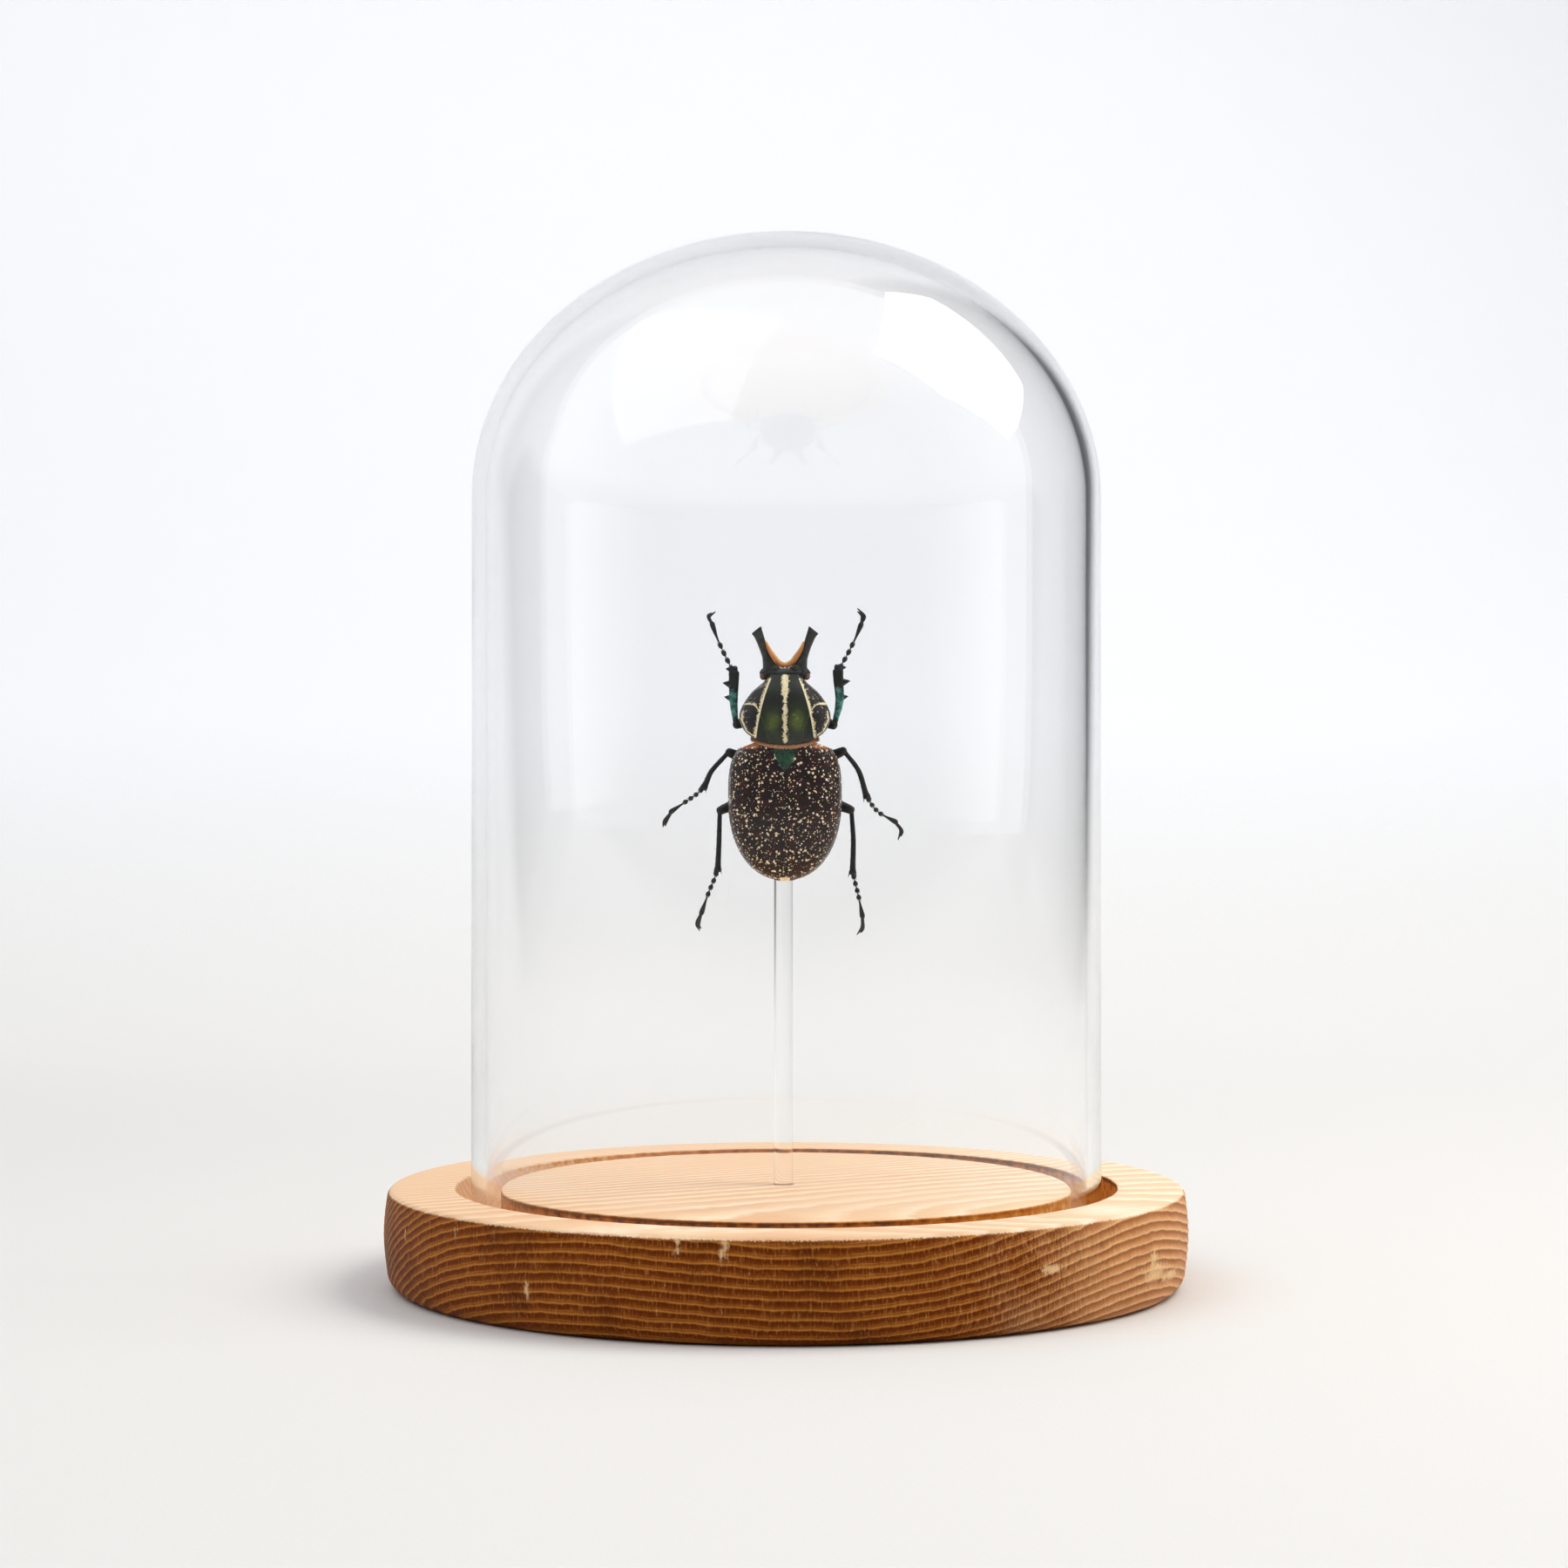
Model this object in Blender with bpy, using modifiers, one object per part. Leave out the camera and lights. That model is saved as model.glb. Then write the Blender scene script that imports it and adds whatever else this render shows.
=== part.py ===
"""A horned flower beetle on a clear rod, under a glass dome that rests in a grooved wooden base.

Metres, +Z up. The origin is on the dome's axis, on the surface that the base stands on. The beetle's
head points up and its back faces -Y, so +X is its own right.
"""

import math

import bmesh
import bpy
from mathutils import Vector

MM = 0.001
GAP = 0.3 * MM  # left between pieces that touch
MERGE = 0.001 * MM
TURNED_STEPS = 64

# Wooden base: one board with a ring groove for the dome and a hole for the rod
BASE_THICKNESS = 15.5 * MM
BASE_SIDE_RADIUS = 63.2 * MM  # where the side meets its rounded edges
BASE_CROWN = 0.5 * MM  # how far the side bulges between them
BASE_TOP_ROUND = 1.2 * MM
BASE_FOOT_ROUND = 3.0 * MM
DISC_RADIUS = 45.3 * MM  # the island inside the groove
GROOVE_RADIUS = 52.5 * MM  # the groove's outer wall
GROOVE_DEPTH = 6.0 * MM
ROD_HOLE_DEPTH = 8.0 * MM

# Glass dome: a straight wall under a cap that is half an ellipse
DOME_RADIUS = 50.0 * MM
DOME_WALL = 2.3 * MM
DOME_CAP_HEIGHT = 42.0 * MM
DOME_TOP = 166.6 * MM

# Clear rod, a little off the dome's axis
ROD_RADIUS = 1.5 * MM
ROD_X = -0.45 * MM
ROD_TOP = 79.5 * MM

# Beetle: its own coordinates are millimetres to its right, forward from the tail tip, and up from
# the plane of its side margins
BEETLE_X = -0.2
BEETLE_TAIL_Z = 64.05
BEETLE_MARGIN_Y = -6.4
SHELL = 0.45  # thickness of a wing case
INNER_GAP = 0.35  # between a wing case and what it covers
SUTURE_GAP = 0.15  # from the midline to the inner edge of each wing case

# Wing cases
ELYTRA_WIDEST = 12.7  # how far forward they are widest
ELYTRA_HALF_WIDTH = 8.9
ELYTRA_HEIGHT = 5.0
ELYTRA_REAR = 0.65
ELYTRA_FRONT = 21.1

# Green triangle between them
SCUTELLUM_TIP = 17.2
SCUTELLUM_FRONT = 20.6
SCUTELLUM_HALF_WIDTH = 1.75


def empty_scene():
    for item in list(bpy.data.objects):
        bpy.data.objects.remove(item)


def new_collection(name):
    group = bpy.data.collections.new(name)
    bpy.context.scene.collection.children.link(group)
    return group


def finish(name, colour, roughness, metallic=0.0, transmission=0.0):
    material = bpy.data.materials.new(name)
    material.use_nodes = True
    shader = material.node_tree.nodes["Principled BSDF"]
    shader.inputs["Base Color"].default_value = (*colour, 1.0)
    shader.inputs["Roughness"].default_value = roughness
    shader.inputs["Metallic"].default_value = metallic
    shader.inputs["Transmission Weight"].default_value = transmission
    return material


def place(name, data, material, group):
    item = bpy.data.objects.new(name, data)
    item.data.materials.append(material)
    group.objects.link(item)
    return item


def as_cutter(item):
    """Marks an object that only cuts or joins another one."""
    item.hide_render = True
    item.display_type = "WIRE"
    return item


def combine(target, other, operation):
    boolean = target.modifiers.new(other.name, "BOOLEAN")
    boolean.operation = operation
    boolean.object = other


def mesh_from(shape, name):
    mesh = bpy.data.meshes.new(name)
    shape.to_mesh(mesh)
    shape.free()
    mesh.shade_smooth()
    mesh.set_sharp_from_angle(angle=math.radians(40))
    return mesh


def arc(centre, radii, start, end, steps):
    """Points on an ellipse's arc, from one angle in degrees to another, as (across, height)."""
    turns = [math.radians(start + (end - start) * i / steps) for i in range(steps + 1)]
    return [(centre[0] + radii[0] * math.cos(a), centre[1] + radii[1] * math.sin(a)) for a in turns]


def turned(name, profile, material, group):
    """Turns a profile of (radius, height), which runs from the axis down the outer side."""
    shape = bmesh.new()
    points = [shape.verts.new((radius, 0.0, height)) for radius, height in profile]
    for pair in zip(points, points[1:]):
        shape.edges.new(pair)
    item = place(name, mesh_from(shape, name), material, group)
    screw = item.modifiers.new("Turn", "SCREW")
    screw.steps = TURNED_STEPS
    screw.render_steps = TURNED_STEPS
    screw.use_merge_vertices = True
    screw.merge_threshold = MERGE
    return item


def loft(name, rings, material, group):
    """Skins closed rings of equal length, in order, and caps both ends."""
    shape = bmesh.new()
    loops = [[shape.verts.new(point) for point in ring] for ring in rings]
    for low, high in zip(loops, loops[1:]):
        for i, j in zip(range(len(low)), [*range(1, len(low)), 0]):
            shape.faces.new((low[i], low[j], high[j], high[i]))
    shape.faces.new(loops[0])
    shape.faces.new(loops[-1])
    bmesh.ops.recalc_face_normals(shape, faces=shape.faces)
    return place(name, mesh_from(shape, name), material, group)


def tube(name, points, radii, material, group, sides_resolution=2):
    """A tube along points, with a radius in millimetres at each."""
    curve = bpy.data.curves.new(name, "CURVE")
    curve.dimensions = "3D"
    curve.bevel_depth = MM
    curve.bevel_resolution = sides_resolution
    curve.use_fill_caps = True
    spline = curve.splines.new("POLY")
    spline.points.add(len(points) - 1)
    for spot, point, radius in zip(spline.points, points, radii):
        spot.co = (*point, 1.0)
        spot.radius = radius
    return place(name, curve, material, group)


def as_mesh(item, group):
    """Swaps a curve object for the mesh it makes, with its caps welded on."""
    name = item.name
    material = item.data.materials[0]
    evaluated = item.evaluated_get(bpy.context.evaluated_depsgraph_get())
    mesh = bpy.data.meshes.new_from_object(evaluated)
    shape = bmesh.new()
    shape.from_mesh(mesh)
    bmesh.ops.remove_doubles(shape, verts=shape.verts, dist=MERGE)
    shape.to_mesh(mesh)
    shape.free()
    placed = item.matrix_world.copy()
    bpy.data.objects.remove(item)
    solid = bpy.data.objects.new(name, mesh)
    solid.matrix_world = placed
    if not mesh.materials:
        mesh.materials.append(material)
    group.objects.link(solid)
    return solid


def cone(name, foot, tip, radius, material, group):
    """A small spike from foot to tip."""
    along = tip - foot
    shape = bmesh.new()
    bmesh.ops.create_cone(
        shape, cap_ends=True, segments=6, radius1=radius, radius2=0.15 * radius, depth=along.length
    )
    item = place(name, mesh_from(shape, name), material, group)
    item.location = (foot + tip) / 2
    item.rotation_mode = "QUATERNION"
    item.rotation_quaternion = along.to_track_quat("Z", "Y")
    return item


def at(right, forward, up):
    """A point given in the beetle's own coordinates."""
    return Vector((BEETLE_X + right, BEETLE_MARGIN_Y - up, BEETLE_TAIL_Z + forward)) * MM


# ---------------------------------------------------------------- case and holder


def wooden_base(parts, cutters, wood):
    shoulder = BASE_THICKNESS - BASE_TOP_ROUND
    foot_centre = (BASE_SIDE_RADIUS - BASE_FOOT_ROUND, BASE_FOOT_ROUND)
    top_centre = (BASE_SIDE_RADIUS - BASE_TOP_ROUND, shoulder)
    foot = arc(foot_centre, (BASE_FOOT_ROUND, BASE_FOOT_ROUND), 0, -90, 3)
    top_edge = arc(top_centre, (BASE_TOP_ROUND, BASE_TOP_ROUND), 90, 0, 2)
    side = []
    for share in (0.25, 0.5, 0.75):
        bulge = BASE_CROWN * math.sin(math.pi * share)
        height = shoulder + (BASE_FOOT_ROUND - shoulder) * share
        side.append((BASE_SIDE_RADIUS + bulge, height))
    groove_floor = BASE_THICKNESS - GROOVE_DEPTH
    profile = [
        (0.0, BASE_THICKNESS),
        (DISC_RADIUS, BASE_THICKNESS),
        (DISC_RADIUS, groove_floor),
        (GROOVE_RADIUS, groove_floor),
        (GROOVE_RADIUS, BASE_THICKNESS),
        *top_edge,
        *side,
        *foot,
        (0.0, 0.0),
    ]
    base = turned("wooden_base", profile, wood, parts)
    drill = bmesh.new()
    bmesh.ops.create_cone(
        drill,
        cap_ends=True,
        segments=24,
        radius1=ROD_RADIUS + GAP,
        radius2=ROD_RADIUS + GAP,
        depth=2 * ROD_HOLE_DEPTH,
    )
    cutter = as_cutter(place("rod_hole_drill", mesh_from(drill, "rod_hole_drill"), wood, cutters))
    cutter.location = (ROD_X, 0.0, BASE_THICKNESS)
    combine(base, cutter, "DIFFERENCE")


def glass_dome(parts, glass):
    cap_foot = DOME_TOP - DOME_CAP_HEIGHT
    rests_at = BASE_THICKNESS - GROOVE_DEPTH + GAP
    lip = DOME_WALL / 2
    inner = (DOME_RADIUS - DOME_WALL, DOME_CAP_HEIGHT - DOME_WALL)
    profile = [
        *arc((0.0, cap_foot), (DOME_RADIUS, DOME_CAP_HEIGHT), 90, 0, 8),
        *arc((DOME_RADIUS - lip, rests_at + lip), (lip, lip), 0, -180, 4),
        *arc((0.0, cap_foot), inner, 0, 90, 8),
    ]
    turned("glass_dome", profile, glass, parts)


def display_rod(parts, clear):
    foot = BASE_THICKNESS - ROD_HOLE_DEPTH + GAP
    shape = bmesh.new()
    bmesh.ops.create_cone(
        shape, cap_ends=True, segments=24, radius1=ROD_RADIUS, radius2=ROD_RADIUS, depth=ROD_TOP - foot
    )
    rod = place("display_rod", mesh_from(shape, "display_rod"), clear, parts)
    rod.location = (ROD_X, 0.0, (foot + ROD_TOP) / 2)


# ---------------------------------------------------------------- beetle's body


def swell(share, power):
    """The quarter of a superellipse: 1 at share 0, falling to 0 at share 1."""
    return (1 - min(share, 1.0) ** power) ** (1 / power)


def elytra_half_width(forward):
    if forward < ELYTRA_WIDEST:
        return ELYTRA_HALF_WIDTH * swell((ELYTRA_WIDEST - forward) / ELYTRA_WIDEST, 2.15)
    return ELYTRA_HALF_WIDTH * swell((forward - ELYTRA_WIDEST) / 9.2, 4.0)


def elytra_height(forward):
    reach = 13.2 if forward < 13.0 else 14.0
    return ELYTRA_HEIGHT * swell(abs(forward - 13.0) / reach, 2.2)


def spaced(start, end, count):
    """Places from start to end, closer together towards both."""
    return [start + (end - start) * (1 - math.cos(math.pi * i / (count - 1))) / 2 for i in range(count)]


def ring(forward, half_width, height, depth, points=12):
    """A body section: a full, rounded back over a keeled underside."""
    spots = []
    for i in range(points):
        turn = 2 * math.pi * i / points
        across, rise = math.cos(turn), math.sin(turn)
        power = 0.8 if rise > 0 else 1.25
        right = math.copysign(abs(across) ** power, across) * half_width
        up = abs(rise) ** power * (height if rise > 0 else -depth)
        spots.append(at(right, forward, up))
    return spots


def elytron(name, side, parts, chitin):
    """One wing case: a curved shell from the midline to the side margin."""
    rings = []
    for forward in spaced(ELYTRA_REAR, ELYTRA_FRONT, 11):
        beside_scutellum = (forward - SCUTELLUM_TIP) / (SCUTELLUM_FRONT - SCUTELLUM_TIP)
        inner_edge = SUTURE_GAP + max(0.0, beside_scutellum) * (SCUTELLUM_HALF_WIDTH + 0.2)
        outside, inside = [], []
        for line, inset in ((outside, 0.0), (inside, SHELL)):
            width = elytra_half_width(forward) - inset
            height = elytra_height(forward) - inset
            first = math.acos((inner_edge / width) ** 1.25)
            for k in range(6):
                turn = first * (1 - k / 5)
                line.append(
                    at(side * width * math.cos(turn) ** 0.8, forward, height * math.sin(turn) ** 0.8)
                )
        rings.append(outside + inside[::-1])
    loft(name, rings, chitin, parts)


def scutellum(parts, chitin):
    """A triangular plate, let in between the wing cases."""
    thickness = 0.5
    rings = []
    for drop in (0.0, thickness):
        corners = (
            (-SCUTELLUM_HALF_WIDTH, SCUTELLUM_FRONT),
            (SCUTELLUM_HALF_WIDTH, SCUTELLUM_FRONT),
            (0.0, SCUTELLUM_TIP + 0.3),
        )
        rings.append([at(x, v, elytra_height(v) - drop) for x, v in corners])
    loft("scutellum", rings, chitin, parts)


def under_body(name, span, depths, belly, drop, parts, chitin):
    """A solid under the wing cases: its rear and front, its depth at each, and its bulge between."""
    rings = []
    inset = SHELL + INNER_GAP
    for forward in spaced(*span, 7):
        share = (forward - span[0]) / (span[1] - span[0])
        depth = depths[0] + (depths[1] - depths[0]) * share + belly * math.sin(math.pi * share)
        half_width = elytra_half_width(forward) - inset
        rings.append(ring(forward, half_width, elytra_height(forward) - inset - drop, depth))
    loft(name, rings, chitin, parts)


def pygidium(parts, chitin):
    rings = [ring(-0.05, 1.3, 0.6, 0.9, 8), ring(0.35, 2.3, 1.3, 1.3, 8)]
    loft("pygidium", rings, chitin, parts)


def prothorax(parts, chitin):
    """Sections from the rear lobe to the narrow front edge: forward, half width, height, depth."""
    sections = (
        (21.5, 2.6, 3.4, 2.2),
        (22.3, 4.7, 4.1, 3.0),
        (23.4, 6.3, 4.5, 3.5),
        (25.3, 7.15, 4.8, 3.9),
        (27.2, 6.8, 4.6, 3.9),
        (29.5, 5.3, 3.9, 3.3),
        (31.2, 3.2, 3.1, 2.5),
        (32.3, 2.6, 2.5, 2.0),
    )
    loft("prothorax", [ring(*section) for section in sections], chitin, parts)


def horn_ring(side, inner, outer, up, thickness):
    """A section of a horn between its inner and outer edge, each (right, forward)."""
    spots = []
    for i in range(8):
        turn = 2 * math.pi * i / 8
        share = (1 + math.cos(turn)) / 2
        right = inner[0] + (outer[0] - inner[0]) * share
        forward = inner[1] + (outer[1] - inner[1]) * share
        spots.append(at(side * right, forward, up + thickness / 2 * math.sin(turn)))
    return spots


def head(parts, cutters, chitin):
    """The head capsule, joined to two horns that spread into a V with slanting tips."""
    sections = ((32.6, 2.3, 2.0, 1.6), (33.1, 3.2, 1.9, 1.6), (33.8, 3.1, 1.4, 1.4))
    capsule = loft("head", [ring(*section) for section in sections], chitin, parts)
    horn = (
        ((0.3, 33.1), (3.4, 33.0), 0.2, 2.4),
        ((1.4, 34.1), (3.3, 34.1), 0.4, 2.0),
        ((2.2, 35.2), (3.3, 35.0), 0.7, 1.7),
        ((2.8, 36.5), (3.8, 36.3), 1.0, 1.4),
        ((3.2, 37.7), (4.4, 37.5), 1.5, 1.2),
        ((3.9, 40.0), (5.15, 38.8), 2.2, 1.0),
    )
    for side, name in ((-1, "horn_left"), (1, "horn_right")):
        rings = [horn_ring(side, *section) for section in horn]
        combine(capsule, as_cutter(loft(name, rings, chitin, cutters)), "UNION")


def eyes_and_antennae(parts, eye, chitin):
    for side, name in ((-1, "left"), (1, "right")):
        ball = bmesh.new()
        bmesh.ops.create_uvsphere(ball, u_segments=8, v_segments=6, radius=0.6 * MM)
        item = place(f"eye_{name}", mesh_from(ball, f"eye_{name}"), eye, parts)
        item.location = at(side * 3.75, 32.25, -0.1)
        spots = ((1.9, 33.3, -2.0), (2.4, 34.1, -2.3), (2.7, 34.9, -2.0), (3.0, 35.9, -1.6))
        route = [at(side * x, v, u) for x, v, u in spots]
        tube(f"antenna_{name}", route, (0.2, 0.2, 0.5, 0.3), chitin, parts, 1)


# ---------------------------------------------------------------- beetle's legs

# Each leg from its hip to its claw tips: right, forward, up. It bends at the knee and the ankle,
# and a fore leg's shin has teeth, each placed by its tip's right and forward.
LEGS = {
    "fore_left": dict(
        hip=(-2.3, 26.3, -4.5),
        knee=(-7.75, 24.5, -1.9),
        shin=(-8.1, 28.2, -1.9),
        ankle=(-8.05, 32.7, -1.9),
        toes=((-9.3, 35.1, -1.7), (-10.6, 37.9, -1.6), (-11.5, 40.4, -1.5)),
        claw=((-11.9, 41.6, -1.8), (-11.2, 42.4, -2.3)),
        teeth=((-9.6, 28.9), (-9.75, 31.1), (-9.05, 33.0)),
    ),
    "fore_right": dict(
        hip=(2.3, 26.3, -4.5),
        knee=(7.8, 24.4, -1.9),
        shin=(8.6, 28.2, -1.9),
        ankle=(8.35, 33.0, -1.9),
        toes=((9.7, 35.3, -1.7), (11.0, 37.9, -1.6), (12.0, 40.3, -1.5)),
        claw=((12.2, 41.6, -1.8), (11.3, 42.8, -2.3)),
        teeth=((9.95, 29.0), (10.2, 31.4), (9.4, 33.3)),
    ),
    "mid_left": dict(
        hip=(-2.4, 17.4, -5.3),
        knee=(-8.9, 20.2, -2.4),
        shin=(-11.5, 17.3, -2.2),
        ankle=(-12.8, 14.6, -2.1),
        toes=((-14.0, 13.5, -2.0), (-15.6, 12.4, -1.9), (-17.8, 10.9, -1.8)),
        claw=((-18.9, 9.3, -2.1), (-19.1, 8.3, -2.6)),
    ),
    "mid_right": dict(
        hip=(2.4, 17.4, -5.3),
        knee=(9.3, 20.4, -2.4),
        shin=(11.6, 17.3, -2.2),
        ankle=(12.9, 13.2, -2.1),
        toes=((13.7, 11.9, -2.0), (14.9, 10.6, -1.9), (17.3, 9.25, -1.8)),
        claw=((18.2, 7.9, -2.1), (18.1, 6.4, -2.6)),
    ),
    "hind_left": dict(
        hip=(-2.8, 11.5, -5.2),
        knee=(-10.3, 10.9, -2.4),
        shin=(-10.4, 6.4, -2.2),
        ankle=(-10.6, 1.65, -2.1),
        toes=((-11.2, 0.0, -2.0), (-12.0, -1.9, -1.9), (-13.0, -4.6, -1.8)),
        claw=((-13.7, -6.9, -2.1), (-13.3, -8.0, -2.6)),
    ),
    "hind_right": dict(
        hip=(2.8, 11.5, -5.2),
        knee=(10.5, 11.0, -2.4),
        shin=(10.8, 6.4, -2.2),
        ankle=(10.7, 1.2, -2.1),
        toes=((11.15, -0.7, -2.0), (11.6, -2.5, -1.9), (12.2, -5.5, -1.8)),
        claw=((12.2, -7.4, -2.1), (11.6, -8.7, -2.6)),
    ),
}
FEMUR_RADII = (0.75, 0.95, 0.8, 0.55)
TARSUS_RADII = (0.18, 0.2, 0.22, 0.3, 0.2, 0.1)
KNEE_ROOM = 0.95  # from the knee point to where the tibia starts
ANKLE_ROOM = 0.6  # from the ankle point to where the tarsus starts


def moved_towards(start, end, distance):
    return start + (end - start).normalized() * distance * MM


def leg(name, route, parts, cutters, chitin, green):
    hip, knee, shin, ankle = (at(*route[key]) for key in ("hip", "knee", "shin", "ankle"))
    toes = [at(*toe) for toe in (*route["toes"], *route["claw"])]
    thigh = [hip.lerp(knee, share) for share in (0.0, 0.4, 0.75, 1.0)]
    tube(f"{name}_femur", thigh, FEMUR_RADII, chitin, parts)

    fore = "teeth" in route
    tibia_radii = (0.4, 0.7, 0.75) if fore else (0.36, 0.42, 0.6)
    tibia_finish = green if fore else chitin
    below_knee = moved_towards(knee, shin, KNEE_ROOM)
    tibia = tube(f"{name}_tibia", [below_knee, shin, ankle], tibia_radii, tibia_finish, parts)
    if fore:
        tibia = as_mesh(tibia, parts)
        for number, (right, forward) in enumerate(route["teeth"]):
            up = route["shin"][2]
            foot = at(right * 0.87, forward - 0.5, up)
            tooth = cone(f"{name}_tooth_{number}", foot, at(right, forward, up), 0.4 * MM, green, cutters)
            combine(tibia, as_cutter(tooth), "UNION")

    foot = [moved_towards(ankle, toes[0], ANKLE_ROOM), *toes]
    tube(f"{name}_tarsus", foot, TARSUS_RADII, chitin, parts, 1)


def build():
    empty_scene()
    parts = new_collection("insect_in_glass_dome")
    cutters = new_collection("cutters")
    wood = finish("torched_pine", (0.45, 0.22, 0.09), 0.55)
    glass = finish("clear_glass", (1.0, 1.0, 1.0), 0.0, transmission=1.0)
    clear = finish("clear_acrylic", (1.0, 1.0, 1.0), 0.02, transmission=1.0)
    black = finish("black_chitin", (0.02, 0.022, 0.022), 0.35)
    maroon = finish("speckled_maroon_chitin", (0.09, 0.03, 0.03), 0.25)
    olive = finish("olive_green_chitin", (0.03, 0.05, 0.02), 0.3)
    emerald = finish("emerald_chitin", (0.02, 0.2, 0.1), 0.3, metallic=0.4)
    amber = finish("brown_eye", (0.2, 0.08, 0.03), 0.15)

    wooden_base(parts, cutters, wood)
    glass_dome(parts, glass)
    display_rod(parts, clear)
    head(parts, cutters, black)
    eyes_and_antennae(parts, amber, black)
    prothorax(parts, olive)
    under_body("abdomen", (0.7, 11.2), (1.2, 4.3), 0.9, 0.0, parts, black)
    under_body("thorax", (11.5, 21.1), (4.35, 3.6), 0.6, 0.7, parts, black)
    pygidium(parts, maroon)
    scutellum(parts, emerald)
    elytron("elytron_left", -1, parts, maroon)
    elytron("elytron_right", 1, parts, maroon)
    for name, route in LEGS.items():
        leg(name, route, parts, cutters, black, emerald)


build()
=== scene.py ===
"""Finishes for the insect in its glass dome: wood, glass, and a horned flower beetle with its hairs.

Lengths are millimetres until a mesh is made. +Z is up, and the beetle's back faces -Y.
"""

import math

import bmesh
import bpy
import numpy as np
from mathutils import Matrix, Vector, noise


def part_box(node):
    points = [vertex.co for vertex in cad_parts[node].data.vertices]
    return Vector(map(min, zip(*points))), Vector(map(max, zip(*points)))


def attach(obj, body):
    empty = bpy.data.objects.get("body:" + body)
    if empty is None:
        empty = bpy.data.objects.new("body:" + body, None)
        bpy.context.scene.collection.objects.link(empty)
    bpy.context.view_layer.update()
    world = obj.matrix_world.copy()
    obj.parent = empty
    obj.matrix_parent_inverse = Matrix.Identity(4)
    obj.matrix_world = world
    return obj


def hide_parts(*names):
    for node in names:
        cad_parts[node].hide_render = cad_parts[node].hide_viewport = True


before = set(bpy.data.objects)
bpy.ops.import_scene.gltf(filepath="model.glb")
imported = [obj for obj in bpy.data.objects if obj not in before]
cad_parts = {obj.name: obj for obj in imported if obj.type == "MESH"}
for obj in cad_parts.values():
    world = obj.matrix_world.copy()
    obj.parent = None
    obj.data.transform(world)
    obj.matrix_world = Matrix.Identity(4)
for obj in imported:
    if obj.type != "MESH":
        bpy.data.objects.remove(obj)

MM = 0.001
RANDOM = np.random.default_rng(7)
noise.seed_set(7)  # without it, noise_vector starts somewhere else each run
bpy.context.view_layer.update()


def box_mm(node):
    low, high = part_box(node)
    return np.array(low) / MM, np.array(high) / MM


# ---------------- dimensions, from the CAD frame

_, BASE_HIGH = box_mm("wooden_base")
DOME_LOW, DOME_HIGH = box_mm("glass_dome")
ROD_LOW, ROD_HIGH = box_mm("display_rod")
LEFT_LOW, LEFT_HIGH = box_mm("elytron_left")
_, RIGHT_HIGH = box_mm("elytron_right")

# Wooden base
BASE_THICKNESS = BASE_HIGH[2]
BASE_CROWN = 0.5
BASE_SIDE_RADIUS = BASE_HIGH[0] - BASE_CROWN
BASE_TOP_ROUND = 1.2
BASE_FOOT_ROUND = 3.0
DISC_RADIUS = 45.3
GROOVE_RADIUS = 52.5
GROOVE_DEPTH = 6.0
GROOVE_EDGE_ROUND = 0.35
ROD_HOLE_RADIUS = 1.56
ROD_HOLE_DEPTH = 8.0

# Its year rings, seen as surfaces that lie nearly flat in the board
GRAIN_ANGLE = math.radians(30)  # the log's axis, from +X
RING_SPACING = 1.45
RING_RELIEF = 0.07  # how far brushing left the hard part of each ring standing
RING_CREST = 35.0  # how far across the grain the rings are highest
RING_CURVE = 95.0
KNOT = (26.0, 62.0)  # along and across the grain, where a branch lifted the rings
KNOT_LIFT = 10.0
KNOT_SPREAD = (38.0, 30.0)

# Glass dome and rod
DOME_RADIUS = DOME_HIGH[0]
DOME_FOOT, DOME_TOP = DOME_LOW[2], DOME_HIGH[2]
DOME_WALL = 2.3
DOME_CAP_HEIGHT = 42.0
ROD_RADIUS = (ROD_HIGH[0] - ROD_LOW[0]) / 2
ROD_X = (ROD_HIGH[0] + ROD_LOW[0]) / 2

# Beetle: right and forward from the tail tip, and up from the plane of its side margins
BEETLE_UP = np.array((0.0, -1.0, 0.0))
FORWARD = np.array((0.0, 0.0, 1.0))
ELYTRA_FRONT = 21.1
BEETLE_X = (LEFT_LOW[0] + RIGHT_HIGH[0]) / 2
BEETLE_MARGIN_Y = LEFT_HIGH[1]
BEETLE_TAIL_Z = LEFT_HIGH[2] - ELYTRA_FRONT
BACK_POWER = 0.8  # under 1 is squarer than an ellipse, over 1 is more pointed
KEEL_POWER = 1.25
SHELL = 0.45
INNER_GAP = 0.35
SUTURE_GAP = 0.05
ELYTRA_WIDEST = 12.7
ELYTRA_HALF_WIDTH = 8.78
ELYTRA_HEIGHT = 5.0
ELYTRA_HIGHEST = 13.0
ELYTRA_REAR = 0.12
ELYTRA_TUCKED = 22.3  # their front edge, under the shield
ELYTRA_SHOULDER = 20.7
SCUTELLUM_TIP = 17.2
SCUTELLUM_FRONT = 20.6
SCUTELLUM_HALF_WIDTH = 1.75


# ---------------- shapes: (points, faces)


def turns(count):
    """Angles spread evenly all the way round."""
    return 2 * np.pi * np.arange(count) / count


def hump(value, centre, spread):
    """1 at the centre, falling away on both sides."""
    return np.exp(-(((value - centre) / spread) ** 2))


def signed_power(value, power):
    return np.sign(value) * np.abs(value) ** power


def waves(points, size):
    """Smooth noise at each point."""
    return np.array([noise.noise(Vector(point) / size) for point in points])


def join(*shapes):
    points, faces, count = [], [], 0
    for some_points, some_faces in shapes:
        points.append(some_points)
        faces += [tuple(i + count for i in face) for face in some_faces]
        count += len(some_points)
    return np.vstack(points), faces


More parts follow.
